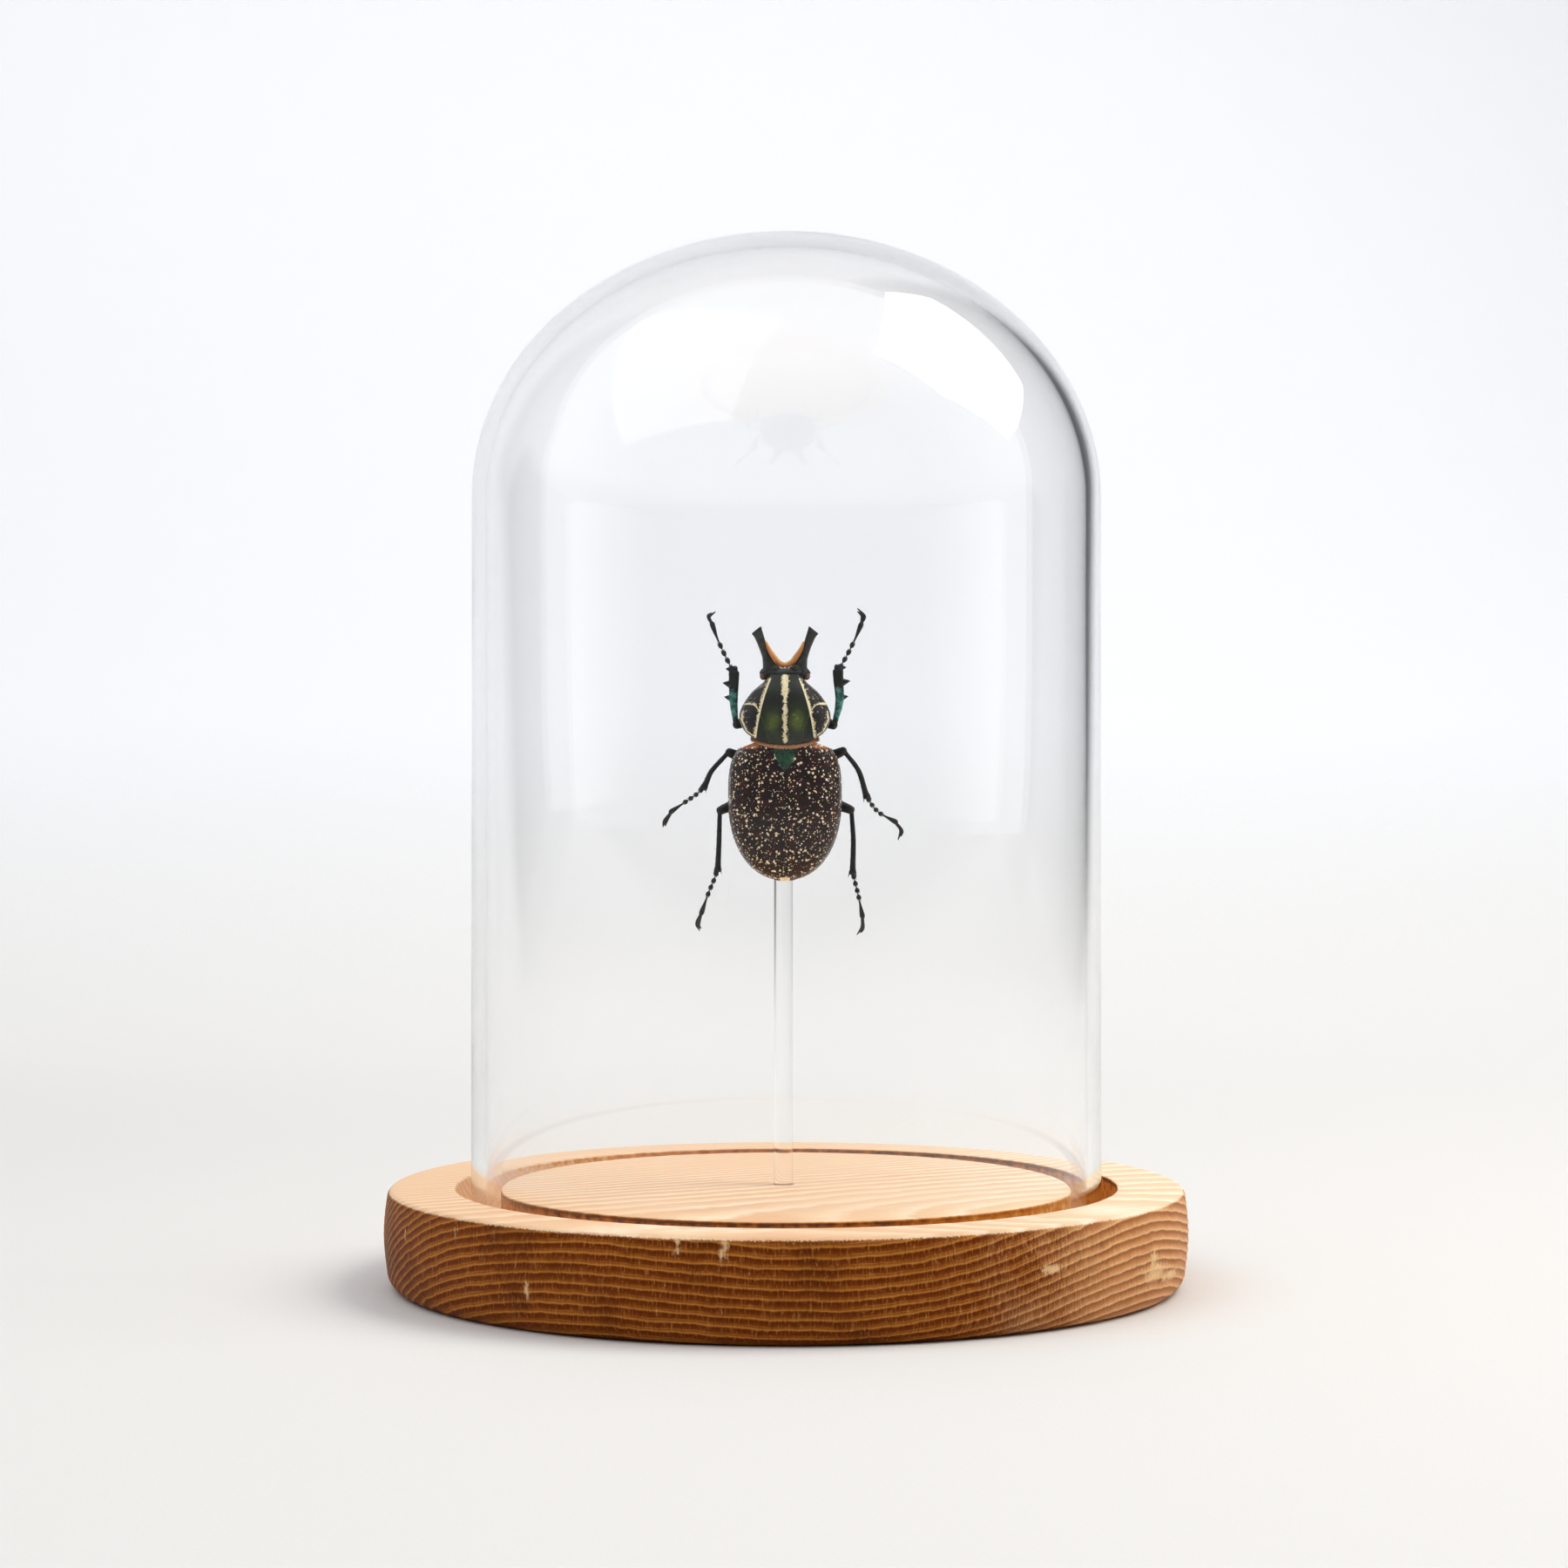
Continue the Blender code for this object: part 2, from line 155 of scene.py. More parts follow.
def skin(rows, round_rows=True):
    """Faces over a grid of points, whose rows close on themselves unless told not to."""
    rows = np.asarray(rows)
    high, wide = rows.shape[:2]
    faces = []
    for r in range(0, (high - 1) * wide, wide):
        for c in range(wide if round_rows else wide - 1):
            after = (c + 1) % wide
            faces.append((r + c, r + after, r + wide + after, r + wide + c))
    return rows.reshape(-1, 3), faces


def capped(rows):
    """Closed rows skinned into a solid, with a point added at each end."""
    points, faces = skin(rows)
    rows = np.asarray(rows)
    wide, last = rows.shape[1], len(points) - rows.shape[1]
    ends = np.array([rows[0].mean(0), rows[-1].mean(0)])
    for c in range(wide):
        after = (c + 1) % wide
        faces.append((len(points), after, c))
        faces.append((len(points) + 1, last + c, last + after))
    return np.vstack([points, ends]), faces


def smooth(rows, per_span):
    """More rows, on a Catmull-Rom curve through the given ones."""
    given = np.array(rows, float)
    given = np.vstack([2 * given[:1] - given[1:2], given, 2 * given[-1:] - given[-2:-1]])
    t = np.linspace(0, 1, per_span, endpoint=False).reshape(-1, *[1] * (given.ndim - 1))
    spans = [
        b + t / 2 * (c - a + t * (2 * a - 5 * b + 4 * c - d + t * (3 * b - 3 * c + d - a)))
        for a, b, c, d in zip(given, given[1:], given[2:], given[3:])
    ]
    return np.concatenate([*spans, given[-2:-1]])


def unit(vectors):
    return vectors / np.maximum(np.linalg.norm(vectors, axis=-1, keepdims=True), 1e-9)


def sideways(along):
    """Across a direction, and level with the beetle's back."""
    return unit(np.cross(along, BEETLE_UP))


def limb(rows, sides, power=1.0):
    """A round-ended solid along rows of (x, y, z, half width, half thickness)."""
    rows = np.asarray(rows, float)
    centres, widths, depths = rows[:, :3], rows[:, 3], rows[:, 4]
    along = unit(np.gradient(centres, axis=0))
    across = sideways(along)
    raised = np.cross(across, along)
    cos, sin = (signed_power(wave(turns(sides)), power)[:, None] for wave in (np.cos, np.sin))

    def ring(i, shrink, shift):
        middle = centres[i] + along[i] * shift * min(widths[i], depths[i])
        return middle + across[i] * widths[i] * shrink * cos + raised[i] * depths[i] * shrink * sin

    dome = [(math.cos(a), math.sin(a)) for a in np.radians((75, 50, 25))]
    start = [ring(0, shrink, -shift) for shrink, shift in dome]
    end = [ring(-1, shrink, shift) for shrink, shift in dome[::-1]]
    return capped([*start, *(ring(i, 1.0, 0.0) for i in range(len(rows))), *end])


def ball(centre, radii, rows=10, sides=16):
    tilt = np.linspace(0, np.pi, rows + 2)[1:-1, None]
    turn = turns(sides)
    spots = (np.sin(tilt) * np.cos(turn), np.sin(tilt) * np.sin(turn), np.cos(tilt) + 0 * turn)
    return capped(np.stack(spots, axis=-1) * np.array(radii) + np.array(centre))


def spike(foot, tip, radius, sides=8):
    """A thorn that narrows to its tip."""
    foot, tip = np.array(foot), np.array(tip)
    rows = [
        (*(foot + (tip - foot) * share), radius * (1 - share) ** 0.8, radius * (1 - share) ** 0.8)
        for share in (0, 0.3, 0.6, 0.85, 0.97)
    ]
    return limb(rows, sides)


def hairs(roots, directions, lengths, radius, droop):
    """Thin three-sided hairs, each bent a little along droop towards its tip."""
    directions, count = unit(directions), len(roots)
    across = unit(np.cross(directions, RANDOM.normal(size=(count, 3))))
    other = np.cross(directions, across)
    rings = []
    for share, thick in ((0.0, 1.0), (0.55, 0.75)):
        middle = roots + (directions * share + droop * share**2) * lengths[:, None]
        for turn in (0, 2 * np.pi / 3, 4 * np.pi / 3):
            rings.append(middle + (across * math.cos(turn) + other * math.sin(turn)) * radius * thick)
    tips = roots + (directions + droop) * lengths[:, None]
    points = np.stack([*rings, tips], axis=1).reshape(-1, 3)
    one = [(0, 1, 4, 3), (1, 2, 5, 4), (2, 0, 3, 5), (3, 4, 6), (4, 5, 6), (5, 3, 6), (2, 1, 0)]
    return points, [tuple(7 * i + corner for corner in face) for i in range(count) for face in one]


def mesh_of(name, shape):
    points, faces = shape
    mesh = bpy.data.meshes.new(name)
    mesh.from_pydata((np.asarray(points) * MM).tolist(), [], faces)
    whole = bmesh.new()
    whole.from_mesh(mesh)
    bmesh.ops.recalc_face_normals(whole, faces=whole.faces)
    whole.to_mesh(mesh)
    whole.free()
    mesh.shade_smooth()
    return mesh


def added(name, data):
    item = bpy.data.objects.new(name, data)
    bpy.context.scene.collection.objects.link(item)
    return item


def welded(shape, voxel, rounding):
    """One skin round shapes that overlap, with the creases between them rounded."""
    item = added("weld", mesh_of("weld", shape))
    remesh = item.modifiers.new("Weld", "REMESH")
    remesh.mode = "VOXEL"
    remesh.voxel_size = voxel * MM
    relax = item.modifiers.new("Round", "SMOOTH")
    relax.iterations = rounding
    mesh = bpy.data.meshes.new_from_object(item.evaluated_get(bpy.context.evaluated_depsgraph_get()))
    points = np.array([v.co for v in mesh.vertices]) / MM
    faces = [tuple(face.vertices) for face in mesh.polygons]
    bpy.data.objects.remove(item)
    bpy.data.meshes.remove(mesh)
    return points, faces


def roughened(shape, amount, size):
    """Moves each point of a shape a little, by smooth noise."""
    points, faces = shape
    shifts = np.array([noise.noise_vector(Vector(point) / size) for point in points])
    return points + amount * shifts, faces


def piece(name, shape, finish, slot, *nodes, crease=None, **measures):
    """Adds one part of the object; the measures are numbers per point that its finish reads."""
    mesh = mesh_of(name, shape)
    if crease:
        mesh.set_sharp_from_angle(angle=math.radians(crease))
    for label, values in measures.items():
        layer = mesh.attributes.new(label, "FLOAT", "POINT")
        layer.data.foreach_set("value", np.asarray(values, np.float32))
    mesh.materials.append(finish)
    item = added(name, mesh)
    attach(item, "root")
    if nodes:
        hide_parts(*nodes)
    return item


# ---------------- finishes


def colour(code):
    """A linear colour from an sRGB code such as 'c08a55'."""
    shares = [int(code[i : i + 2], 16) / 255 for i in (0, 2, 4)]
    return (*((s / 12.92 if s < 0.04045 else ((s + 0.055) / 1.055) ** 2.4) for s in shares), 1.0)


def feed(tree, socket, source):
    """Links an input to an output, or sets its own value; text is a colour code."""
    if isinstance(source, bpy.types.NodeSocket):
        tree.links.new(source, socket)
    else:
        socket.default_value = colour(source) if isinstance(source, str) else source


def add_node(tree, kind, sources, **settings):
    """Adds a shader node; the sources feed its inputs, by number or by name."""
    node = tree.nodes.new(f"ShaderNode{kind}")
    for label, setting in settings.items():
        setattr(node, label, setting)
    for key, source in sources.items():
        feed(tree, node.inputs[key], source)
    return node


class Finish:
    """A material, with short names for the node patterns that this scene uses."""

    def __init__(self, name, **constants):
        self.material = bpy.data.materials.new(name)
        self.material.use_nodes = True
        self.tree = self.material.node_tree
        self.set(**constants)
        self.place = self.scaled(self.add("TexCoord").outputs["Object"], 1 / MM)

    def add(self, kind, sources=None, **settings):
        return add_node(self.tree, kind, sources or {}, **settings)

    def set(self, **sources):
        """Feeds the shader's own inputs."""
        for label, source in sources.items():
            feed(self.tree, self.tree.nodes["Principled BSDF"].inputs[label.replace("_", " ")], source)

    def math(self, operation, *values):
        return self.add("Math", dict(enumerate(values)), operation=operation).outputs[0]

    def vector_math(self, operation, *values):
        return self.add("VectorMath", dict(enumerate(values)), operation=operation).outputs[0]

    def scaled(self, vector, *factors):
        """A vector times one factor, or times one for each axis."""
        return self.vector_math("MULTIPLY", vector, factors if len(factors) == 3 else factors * 3)

    def turned(self, vector, angle):
        """A vector, turned about Z."""
        sources = {"Vector": vector, "Angle": angle}
        return self.add("VectorRotate", sources, rotation_type="Z_AXIS").outputs[0]

    def axis(self, vector, name):
        return self.add("SeparateXYZ", {0: vector}).outputs[name]

    def measure(self, label):
        return self.add("Attribute", attribute_name=label).outputs["Fac"]

    def clouds(self, size, vector=None, detail=2.0, harsh=0.5, output="Fac"):
        """Smooth noise, with patches about size millimetres across."""
        place = vector or self.place
        sources = {"Vector": place, "Scale": 1 / size, "Detail": detail, "Roughness": harsh}
        return self.add("TexNoise", sources).outputs[output]

    def cells(self, size, vector=None):
        """(distance to the nearest cell's centre, in cells, and the cell's own random colour)."""
        node = self.add("TexVoronoi", {"Vector": vector or self.place, "Scale": 1 / size})
        return node.outputs["Distance"], node.outputs["Color"]

    def range(self, value, low, high, to_low=0.0, to_high=1.0):
        """Runs smoothly from one number to the other as value goes from low to high."""
        sources = dict(enumerate((value, low, high, to_low, to_high)))
        return self.add("MapRange", sources, interpolation_type="SMOOTHSTEP").outputs[0]

    def mix(self, share, first, second):
        return self.add("Mix", {0: share, 6: first, 7: second}, data_type="RGBA").outputs[2]

    def tint(self, base, over, value, low, high, most=1.0):
        """Lays one colour over another as value goes from low to high, up to a share of most."""
        return self.mix(self.range(value, low, high, 0.0, most), base, over)

    def uneven(self, value, pattern, amount):
        """A value pushed up and down by a pattern that runs from 0 to 1."""
        return self.math("MULTIPLY_ADD", self.math("SUBTRACT", pattern, 0.5), amount, value)

    def ramp(self, value, *stops):
        """Colours along a value, each given as (place, code)."""
        node = self.add("ValToRGB", {0: value})
        marks = node.color_ramp.elements
        while len(marks) < len(stops):
            marks.new(0.5)
        for mark, (place, code) in zip(marks, stops):
            mark.position = place
            mark.color = colour(code)
        return node.outputs[0]

    def bump(self, height, depth, onto=None):
        sources = {"Height": height, "Distance": depth * MM}
        if onto:
            sources["Normal"] = onto
        return self.add("Bump", sources).outputs[0]


def torched_pine():
    """Pale softwood: torched brown on its side, scorched by the router in its groove with painted shade
    on the walls that face away from the lamp, worn in places, and lighter on the right of its side where
    it was less torched, with a painted sheen there.
    """
    wood = Finish("torched_pine", Specular_IOR_Level=0.05)
    fibre = wood.turned(wood.place, -GRAIN_ANGLE)
    long_grain = wood.clouds(1.0, wood.scaled(fibre, 0.05, 1.6, 1.6), 4, 0.6)
    streaks = wood.clouds(1.0, wood.scaled(wood.place, 3.4, 3.4, 0.55), 3, 0.65)
    soot = wood.clouds(14.0, detail=4, harsh=0.6)
    drift = wood.clouds(9.0, detail=3)
    rings = wood.measure("rings")
    for pattern, share in ((drift, 0.55), (wood.clouds(2.4, detail=2), 0.3), (streaks, 0.1)):
        rings = wood.math("MULTIPLY_ADD", pattern, share, rings)
    year = wood.math("FRACT", rings)

    def through_year(*stops):
        """Colours across one ring, which ends in the tone that the next one starts with."""
        return wood.ramp(year, *stops, (1.0, stops[0][1]))

    browns = ((0.0, "c6833a"), (0.1, "ae6722"), (0.26, "87470f"), (0.5, "763508"), (0.78, "672a04"))
    torched = through_year(*browns, (0.9, "83430d"))
    second_line = wood.ramp(year, (0.24, "000000"), (0.32, "ffffff"), (0.4, "000000"))
    second_line = wood.math("MULTIPLY", second_line, wood.range(soot, 0.55, 0.4, 0.0, 0.7))
    torched = wood.mix(second_line, torched, "c07a34")
    torched = wood.tint(torched, "4a1f08", soot, 0.48, 0.68, 0.5)
    torched = wood.tint(torched, "bb7e40", streaks, 0.5, 0.75, 0.55)
    torched = wood.tint(torched, "441c05", streaks, 0.5, 0.25, 0.45)
    # lighter wood on the right of the side: less torching there, and a painted sheen from the right-hand
    # lamp
    lightly_torched_and_sheen = through_year((0.0, "f8cb98"), (0.15, "ecae74"), (0.45, "cc8c5a"), (0.8, "ae6a38"))
    spared = wood.uneven(wood.uneven(wood.measure("spared"), soot, 1.1), streaks, 0.8)
    torched = wood.tint(torched, lightly_torched_and_sheen, spared, 0.15, 0.95, 0.85)

    pale = through_year((0.0, "fae6cb"), (0.14, "f5d8b5"), (0.45, "e8bb93"), (0.8, "e4b288"))
    pale = wood.mix(wood.range(wood.clouds(30.0), 0.35, 0.65, 0.1, 0.6), pale, "efc9a2")
    sapwood = through_year((0.0, "fff0da"), (0.14, "faebd0"), (0.45, "efd7b2"), (0.8, "ecd0a8"))
    toward_bark = wood.math("MULTIPLY_ADD", drift, 40.0, wood.axis(wood.place, "X"))
    pale = wood.tint(pale, sapwood, toward_bark, 15.0, 85.0, 0.95)
    pale = wood.tint(pale, "dba979", long_grain, 0.4, 0.75, 0.35)
    # router scorch, partly painted shade: darkest on the groove walls that face away from the right-hand
    # lamp
    scorch_and_shade = wood.uneven(wood.measure("char"), wood.clouds(1.3, detail=3), 0.7)
    burnt = wood.ramp(scorch_and_shade, (0.15, "f4d3a4"), (0.4, "d8923f"), (0.65, "ad5f1c"), (0.85, "54260c"))
    pale = wood.tint(pale, burnt, scorch_and_shade, 0.1, 0.3)

    edge = wood.uneven(wood.measure("torch"), streaks, 1.3)
    board = wood.tint(pale, torched, edge, 0.0, 0.45)
    worn = wood.uneven(wood.measure("worn"), wood.clouds(0.9, detail=4, harsh=0.7), 1.6)
    board = wood.tint(board, "f0c894", wood.uneven(worn, streaks, 1.2), 0.25, 0.95, 0.85)
    wood.set(Base_Color=board, Roughness=wood.range(wood.measure("torch"), 0, 1, 0.55, 0.48))
    wood.set(Normal=wood.bump(streaks, 0.14, wood.bump(long_grain, 0.12)))
    return wood.material


def clear_glass(name, index, tone, ripple_size, ripple):
    """Clear and smooth but for a slow ripple and a few faint smears."""
    glass = Finish(name, Transmission_Weight=1.0, IOR=index)
    smear = glass.clouds(14.0, glass.scaled(glass.place, 1, 1, 0.4), 5, 0.7)
    glass.set(Base_Color=glass.tint("ffffff", tone, smear, 0.5, 0.8))
    glass.set(Roughness=glass.range(smear, 0.66, 0.9, 0.0, 0.03))
    glass.set(Normal=glass.bump(glass.clouds(ripple_size, detail=1), ripple))
    return glass.material


def speckles(finish, size, threshold, seed):
    """Uneven dots, one in each cell whose own chance is under the threshold."""
    wobble = finish.clouds(0.28, detail=1, output="Color")
    spot = finish.vector_math("MULTIPLY_ADD", wobble, (0.3,) * 3, finish.place)
    spot = finish.vector_math("ADD", spot, (seed, 2 * seed, 3 * seed))
    distance, hue = finish.cells(size, spot)
    there = finish.range(finish.math("SUBTRACT", threshold, finish.axis(hue, "X")), 0.0, 0.04)
    radius = finish.range(finish.axis(hue, "Y"), 0.0, 1.0, 0.17, 0.38)
    inside = finish.range(distance, radius, finish.math("SUBTRACT", radius, 0.1))
    return finish.math("MULTIPLY", there, inside)


def pitted(finish, size, onto=None):
    """Fine pits, as on hard chitin."""
    distance, _ = finish.cells(size)
    return finish.bump(finish.range(distance, 0.0, 0.45), 0.03, onto)


def painted(finish, ground, paint, marks, roughness, pit_size):
    """Lays matt paint on glossy, pitted chitin where the marks are."""
    finish.set(Base_Color=finish.mix(marks, ground, paint))
    finish.set(Roughness=finish.range(marks, 0, 1, roughness, 0.6))
    finish.set(Normal=finish.bump(marks, -0.03, pitted(finish, pit_size)))
    return finish.material


def wing_case():
    """Dark maroon with cream speckles, crowded along the middle and the rear."""
    wing = Finish("speckled_maroon_chitin", Coat_Weight=0.18, Coat_Roughness=0.2, Specular_IOR_Level=0.22)
    mottle = wing.clouds(1.6, detail=4, harsh=0.6)
    crowding = wing.measure("crowding")
    shoulder = wing.math("MULTIPLY_ADD", mottle, 0.7, wing.measure("shoulder"))
    ground = wing.ramp(mottle, (0.3, "0f0508"), (0.5, "220d0d"), (0.72, "431a14"))
    ground = wing.tint(ground, "14111d", crowding, 0.25, 0.0, 0.8)
    ground = wing.tint(ground, "b5652f", shoulder, 0.85, 1.25)
    large = speckles(wing, 0.66, crowding, 3.0)
    small = speckles(wing, 0.38, wing.math("MULTIPLY", crowding, 0.7), 11.0)
    tail = wing.range(wing.measure("tail_mark"), 0.0, 0.12)
    dots = wing.math("MAXIMUM", wing.math("MAXIMUM", large, small), tail)
    cream = wing.ramp(wing.clouds(0.8), (0.3, "ecc78d"), (0.5, "ffedc4"), (0.7, "fffcf0"))
    return painted(wing, ground, cream, dots, 0.3, 0.33)


def shield():
    """Dark green with olive glints painted on as highlights, purplish at the sides, and painted with
    cream lines.
    """
    green = Finish("olive_green_chitin", Coat_Weight=0.2, Coat_Roughness=0.2, Specular_IOR_Level=0.35)
    grain = green.clouds(0.35, detail=3, harsh=0.7)
    olive = green.clouds(2.6, detail=3)
    # glow marks where the shield's crown takes painted highlights: lighter olive, with bright glints over
    # it
    glow = green.uneven(green.measure("glow"), olive, 0.9)
    centre = green.ramp(glow, (0.0, "10180c"), (0.35, "273218"), (0.8, "55622a"), (1.0, "727a38"))
    painted_glint = green.math("MULTIPLY", green.range(grain, 0.58, 0.68), green.range(glow, 0.3, 0.8, 0.0, 0.7))
    centre = green.mix(painted_glint, centre, "a7ac66")
    dots = speckles(green, 0.4, green.range(green.measure("inner_line"), 0.0, 0.8, 0.2, 0.55), 5.0)
    flank = green.mix(dots, green.ramp(olive, (0.4, "0b090c"), (0.65, "1d151b")), "cdb88c")
    ground = green.tint(centre, flank, green.measure("inner_line"), -0.1, 0.2)

    def line(label, width):
        off = green.math("ABSOLUTE", green.uneven(green.measure(label), grain, 0.9))
        off = green.uneven(off, grain, 1.0)
        return green.range(off, width, green.math("SUBTRACT", width, 0.1))

    lines = line("middle_line", green.measure("middle_width"))
    for label, width in (("inner_line", 0.25), ("side_arc", 0.19), ("margin_line", 0.19)):
        lines = green.math("MAXIMUM", lines, line(label, width))
    cream = green.ramp(grain, (0.3, "dcae74"), (0.45, "fcebba"), (0.62, "fffae0"))
    return painted(green, ground, cream, lines, 0.28, 0.25)


def chitin(name, dark, light, painted_sheen, roughness, **constants):
    """Hard, finely pitted chitin: blotched, with a lighter tint painted on in patches as sheen."""
    shell = Finish(name, Coat_Roughness=0.2, **constants)
    blotches = shell.clouds(0.9, detail=4, harsh=0.65)
    body = shell.ramp(blotches, (0.32, dark), (0.68, light))
    # patches of painted sheen
    body = shell.tint(body, painted_sheen, shell.clouds(2.2, detail=2), 0.5, 0.72, 0.55)
    shell.set(Base_Color=shell.tint(body, "040405", shell.measure("leg"), 0, 1, 0.8))
    shell.set(Roughness=shell.range(blotches, 0.3, 0.7, roughness - 0.08, roughness + 0.12))
    wrinkles = shell.bump(shell.clouds(0.25, detail=3, harsh=0.7), 0.04)
    shell.set(Normal=pitted(shell, 0.22, wrinkles))
    return shell.material


def shin_green():
    """Teal green with a metal gleam, black towards its teeth."""
    green = Finish(
        "teal_green_chitin", Metallic=0.35, Coat_Weight=0.6, Coat_Roughness=0.15, Roughness=0.32
    )
    blotches = green.clouds(0.7, detail=4, harsh=0.65)
    gleam = green.ramp(blotches, (0.35, "12403a"), (0.52, "3a8577"), (0.7, "93c4b6"))
    shown = green.uneven(green.measure("green"), blotches, 1.2)
    green.set(Base_Color=green.tint("0a0b0c", gleam, shown, 0.15, 0.85), Normal=pitted(green, 0.25))
    return green.material


def eye_lens():
    """Brown and glossy, made of many small facets."""
    lens = Finish("brown_eye", Coat_Weight=0.8, Coat_Roughness=0.08, Roughness=0.25)
    distance, hue = lens.cells(0.07)
    lens.set(Base_Color=lens.ramp(lens.axis(hue, "X"), (0.0, "3a1a0e"), (1.0, "8a4a26")))
    lens.set(Normal=lens.bump(distance, -0.015))
    return lens.material


def bristle(name, root, tip):
    """Hair that pales towards its tip; 'grow' runs from its root, 0, to its tip, 1."""
    hair = Finish(name, Roughness=0.55, Sheen_Weight=0.3)
    along = hair.uneven(hair.measure("grow"), hair.clouds(0.5, detail=2), 0.8)
    hair.set(Base_Color=hair.ramp(along, (0.0, root), (1.0, tip)))
    return hair.material


# ---------------- wooden base


def year_rings(points):
    """Which year ring each point lies in; a ring starts at a whole number."""
    x, y, z = points.T
    along = x * math.cos(GRAIN_ANGLE) + y * math.sin(GRAIN_ANGLE)
    across = x * math.sin(GRAIN_ANGLE) - y * math.cos(GRAIN_ANGLE)
    arch = -((across - RING_CREST) ** 2) / (2 * RING_CURVE)
    bulge = ((along - KNOT[0]) / KNOT_SPREAD[0]) ** 2 + ((across - KNOT[1]) / KNOT_SPREAD[1]) ** 2
    return (z - (arch + KNOT_LIFT * np.exp(-bulge))) / RING_SPACING


def rounded_corner(centre, radius, start, end, steps):
    turn = np.radians(np.linspace(start, end, steps))
    return [(centre[0] + radius * math.cos(a), centre[1] + radius * math.sin(a)) for a in turn]


def line_of(start, end, steps):
    """Places from one (radius, height) towards another, without the last."""
    return [tuple(spot) for spot in np.linspace(start, end, steps, endpoint=False)]


def level_ring(radius, height, steps, centre_x=0.0):
    """A level ring of points; its radius may differ from point to point."""
    turn = turns(steps)
    return np.stack([centre_x + radius * np.cos(turn), radius * np.sin(turn), height + 0 * turn], axis=1)


def base_profile():
    """(radius, height) from the floor of the rod's hole, over the top and down the side."""
    top, floor, edge = BASE_THICKNESS, BASE_THICKNESS - GROOVE_DEPTH, GROOVE_EDGE_ROUND
    shoulder, foot = BASE_SIDE_RADIUS - BASE_TOP_ROUND, BASE_SIDE_RADIUS - BASE_FOOT_ROUND
    shares = np.linspace(0.02, 0.98, 50)
    straight = top - BASE_TOP_ROUND - BASE_FOOT_ROUND
    crowned = [BASE_SIDE_RADIUS + BASE_CROWN * math.sin(math.pi * share) for share in shares]
    return [
        (0.3, top - ROD_HOLE_DEPTH),
        (ROD_HOLE_RADIUS, top - ROD_HOLE_DEPTH),
        (ROD_HOLE_RADIUS, top - 0.2),
        *line_of((ROD_HOLE_RADIUS + 0.15, top), (DISC_RADIUS - edge, top), 52),
        *rounded_corner((DISC_RADIUS - edge, top - edge), edge, 90, 0, 4),
        *line_of((DISC_RADIUS, top - edge - 0.3), (DISC_RADIUS, floor), 9),
        *line_of((DISC_RADIUS + 0.1, floor), (GROOVE_RADIUS, floor), 8),
        *line_of((GROOVE_RADIUS, floor + 0.1), (GROOVE_RADIUS, top - edge), 9),
        *rounded_corner((GROOVE_RADIUS + edge, top - edge), edge, 180, 90, 4),
        *line_of((GROOVE_RADIUS + 1, top), (shoulder, top), 10),
        *rounded_corner((shoulder, top - BASE_TOP_ROUND), BASE_TOP_ROUND, 90, 0, 7),
        *zip(crowned, BASE_FOOT_ROUND + straight * (1 - shares)),
        *rounded_corner((foot, BASE_FOOT_ROUND), BASE_FOOT_ROUND, 0, -90, 9),
        *line_of((foot - 2, 0.0), (1.0, 0.0), 8),
    ]


# Places on the side where the torched skin is chipped or scratched off: degrees round from the
# front, height, half width and half height
WORN_SPOTS = (
    (61, 6.0, 4.2, 1.5),
    (60, 7.5, 1.4, 1.9),
    (67, 4.6, 4.0, 0.9),
    (37, 9.4, 2.0, 0.7),
    (-8, 13.6, 0.55, 2.0),
    (-14, 14.2, 0.5, 1.7),
    (-50, 13.6, 0.3, 1.6),
    (-36, 6.4, 0.3, 1.5),
    (-65, 10.8, 0.3, 1.5),
    (118, 12.0, 3.0, 0.8),
    (-128, 5.0, 2.6, 0.7),
    (171, 13.8, 1.2, 1.2),
)


def from_axis(points):
    return np.hypot(points[:, 0], points[:, 1])


def degrees_round(points):
    """How far round from the front each point lies, to the right."""
    return np.degrees(np.arctan2(points[:, 0], -points[:, 1]))


def worn_places(points):
    arc = math.radians(1) * BASE_SIDE_RADIUS
    worn = np.zeros(len(points))
    for where, height, wide, high in WORN_SPOTS:
        off = ((degrees_round(points) - where) * arc / wide) ** 2 + ((points[:, 2] - height) / high) ** 2
        worn = np.maximum(worn, np.exp(-off * 0.8))
    return worn * (from_axis(points) > BASE_SIDE_RADIUS - 2)


def spared_side(points):
    """How much of the torching the right-hand side was spared, with a painted sheen from the right-hand
    lamp laid over the same places.
    """
    return np.interp(degrees_round(points), (8, 30, 48, 85, 130), (0.0, 0.35, 0.75, 1.0, 0.0))


def router_scorch_and_shade(points):
    """How far the router burnt the groove, with painted shade on the walls that face away from the
    right-hand lamp: most on the disc's front left and the rim's back right.
    """
    radius, turn = from_axis(points), np.arctan2(points[:, 0], -points[:, 1])
    depth = BASE_THICKNESS - points[:, 2]
    on_disc = hump(radius, DISC_RADIUS, 0.6) * (0.62 + 0.38 * np.cos(turn + 0.6))
    on_rim = hump(radius, GROOVE_RADIUS, 0.6) * (0.5 + 0.5 * np.cos(turn - 2.2))
    wall = np.clip(on_disc + on_rim, 0, 1)
    return wall * np.clip(depth / 0.25, 0, 1) * (0.6 + 0.35 * hump(depth, 0.3, 0.45))


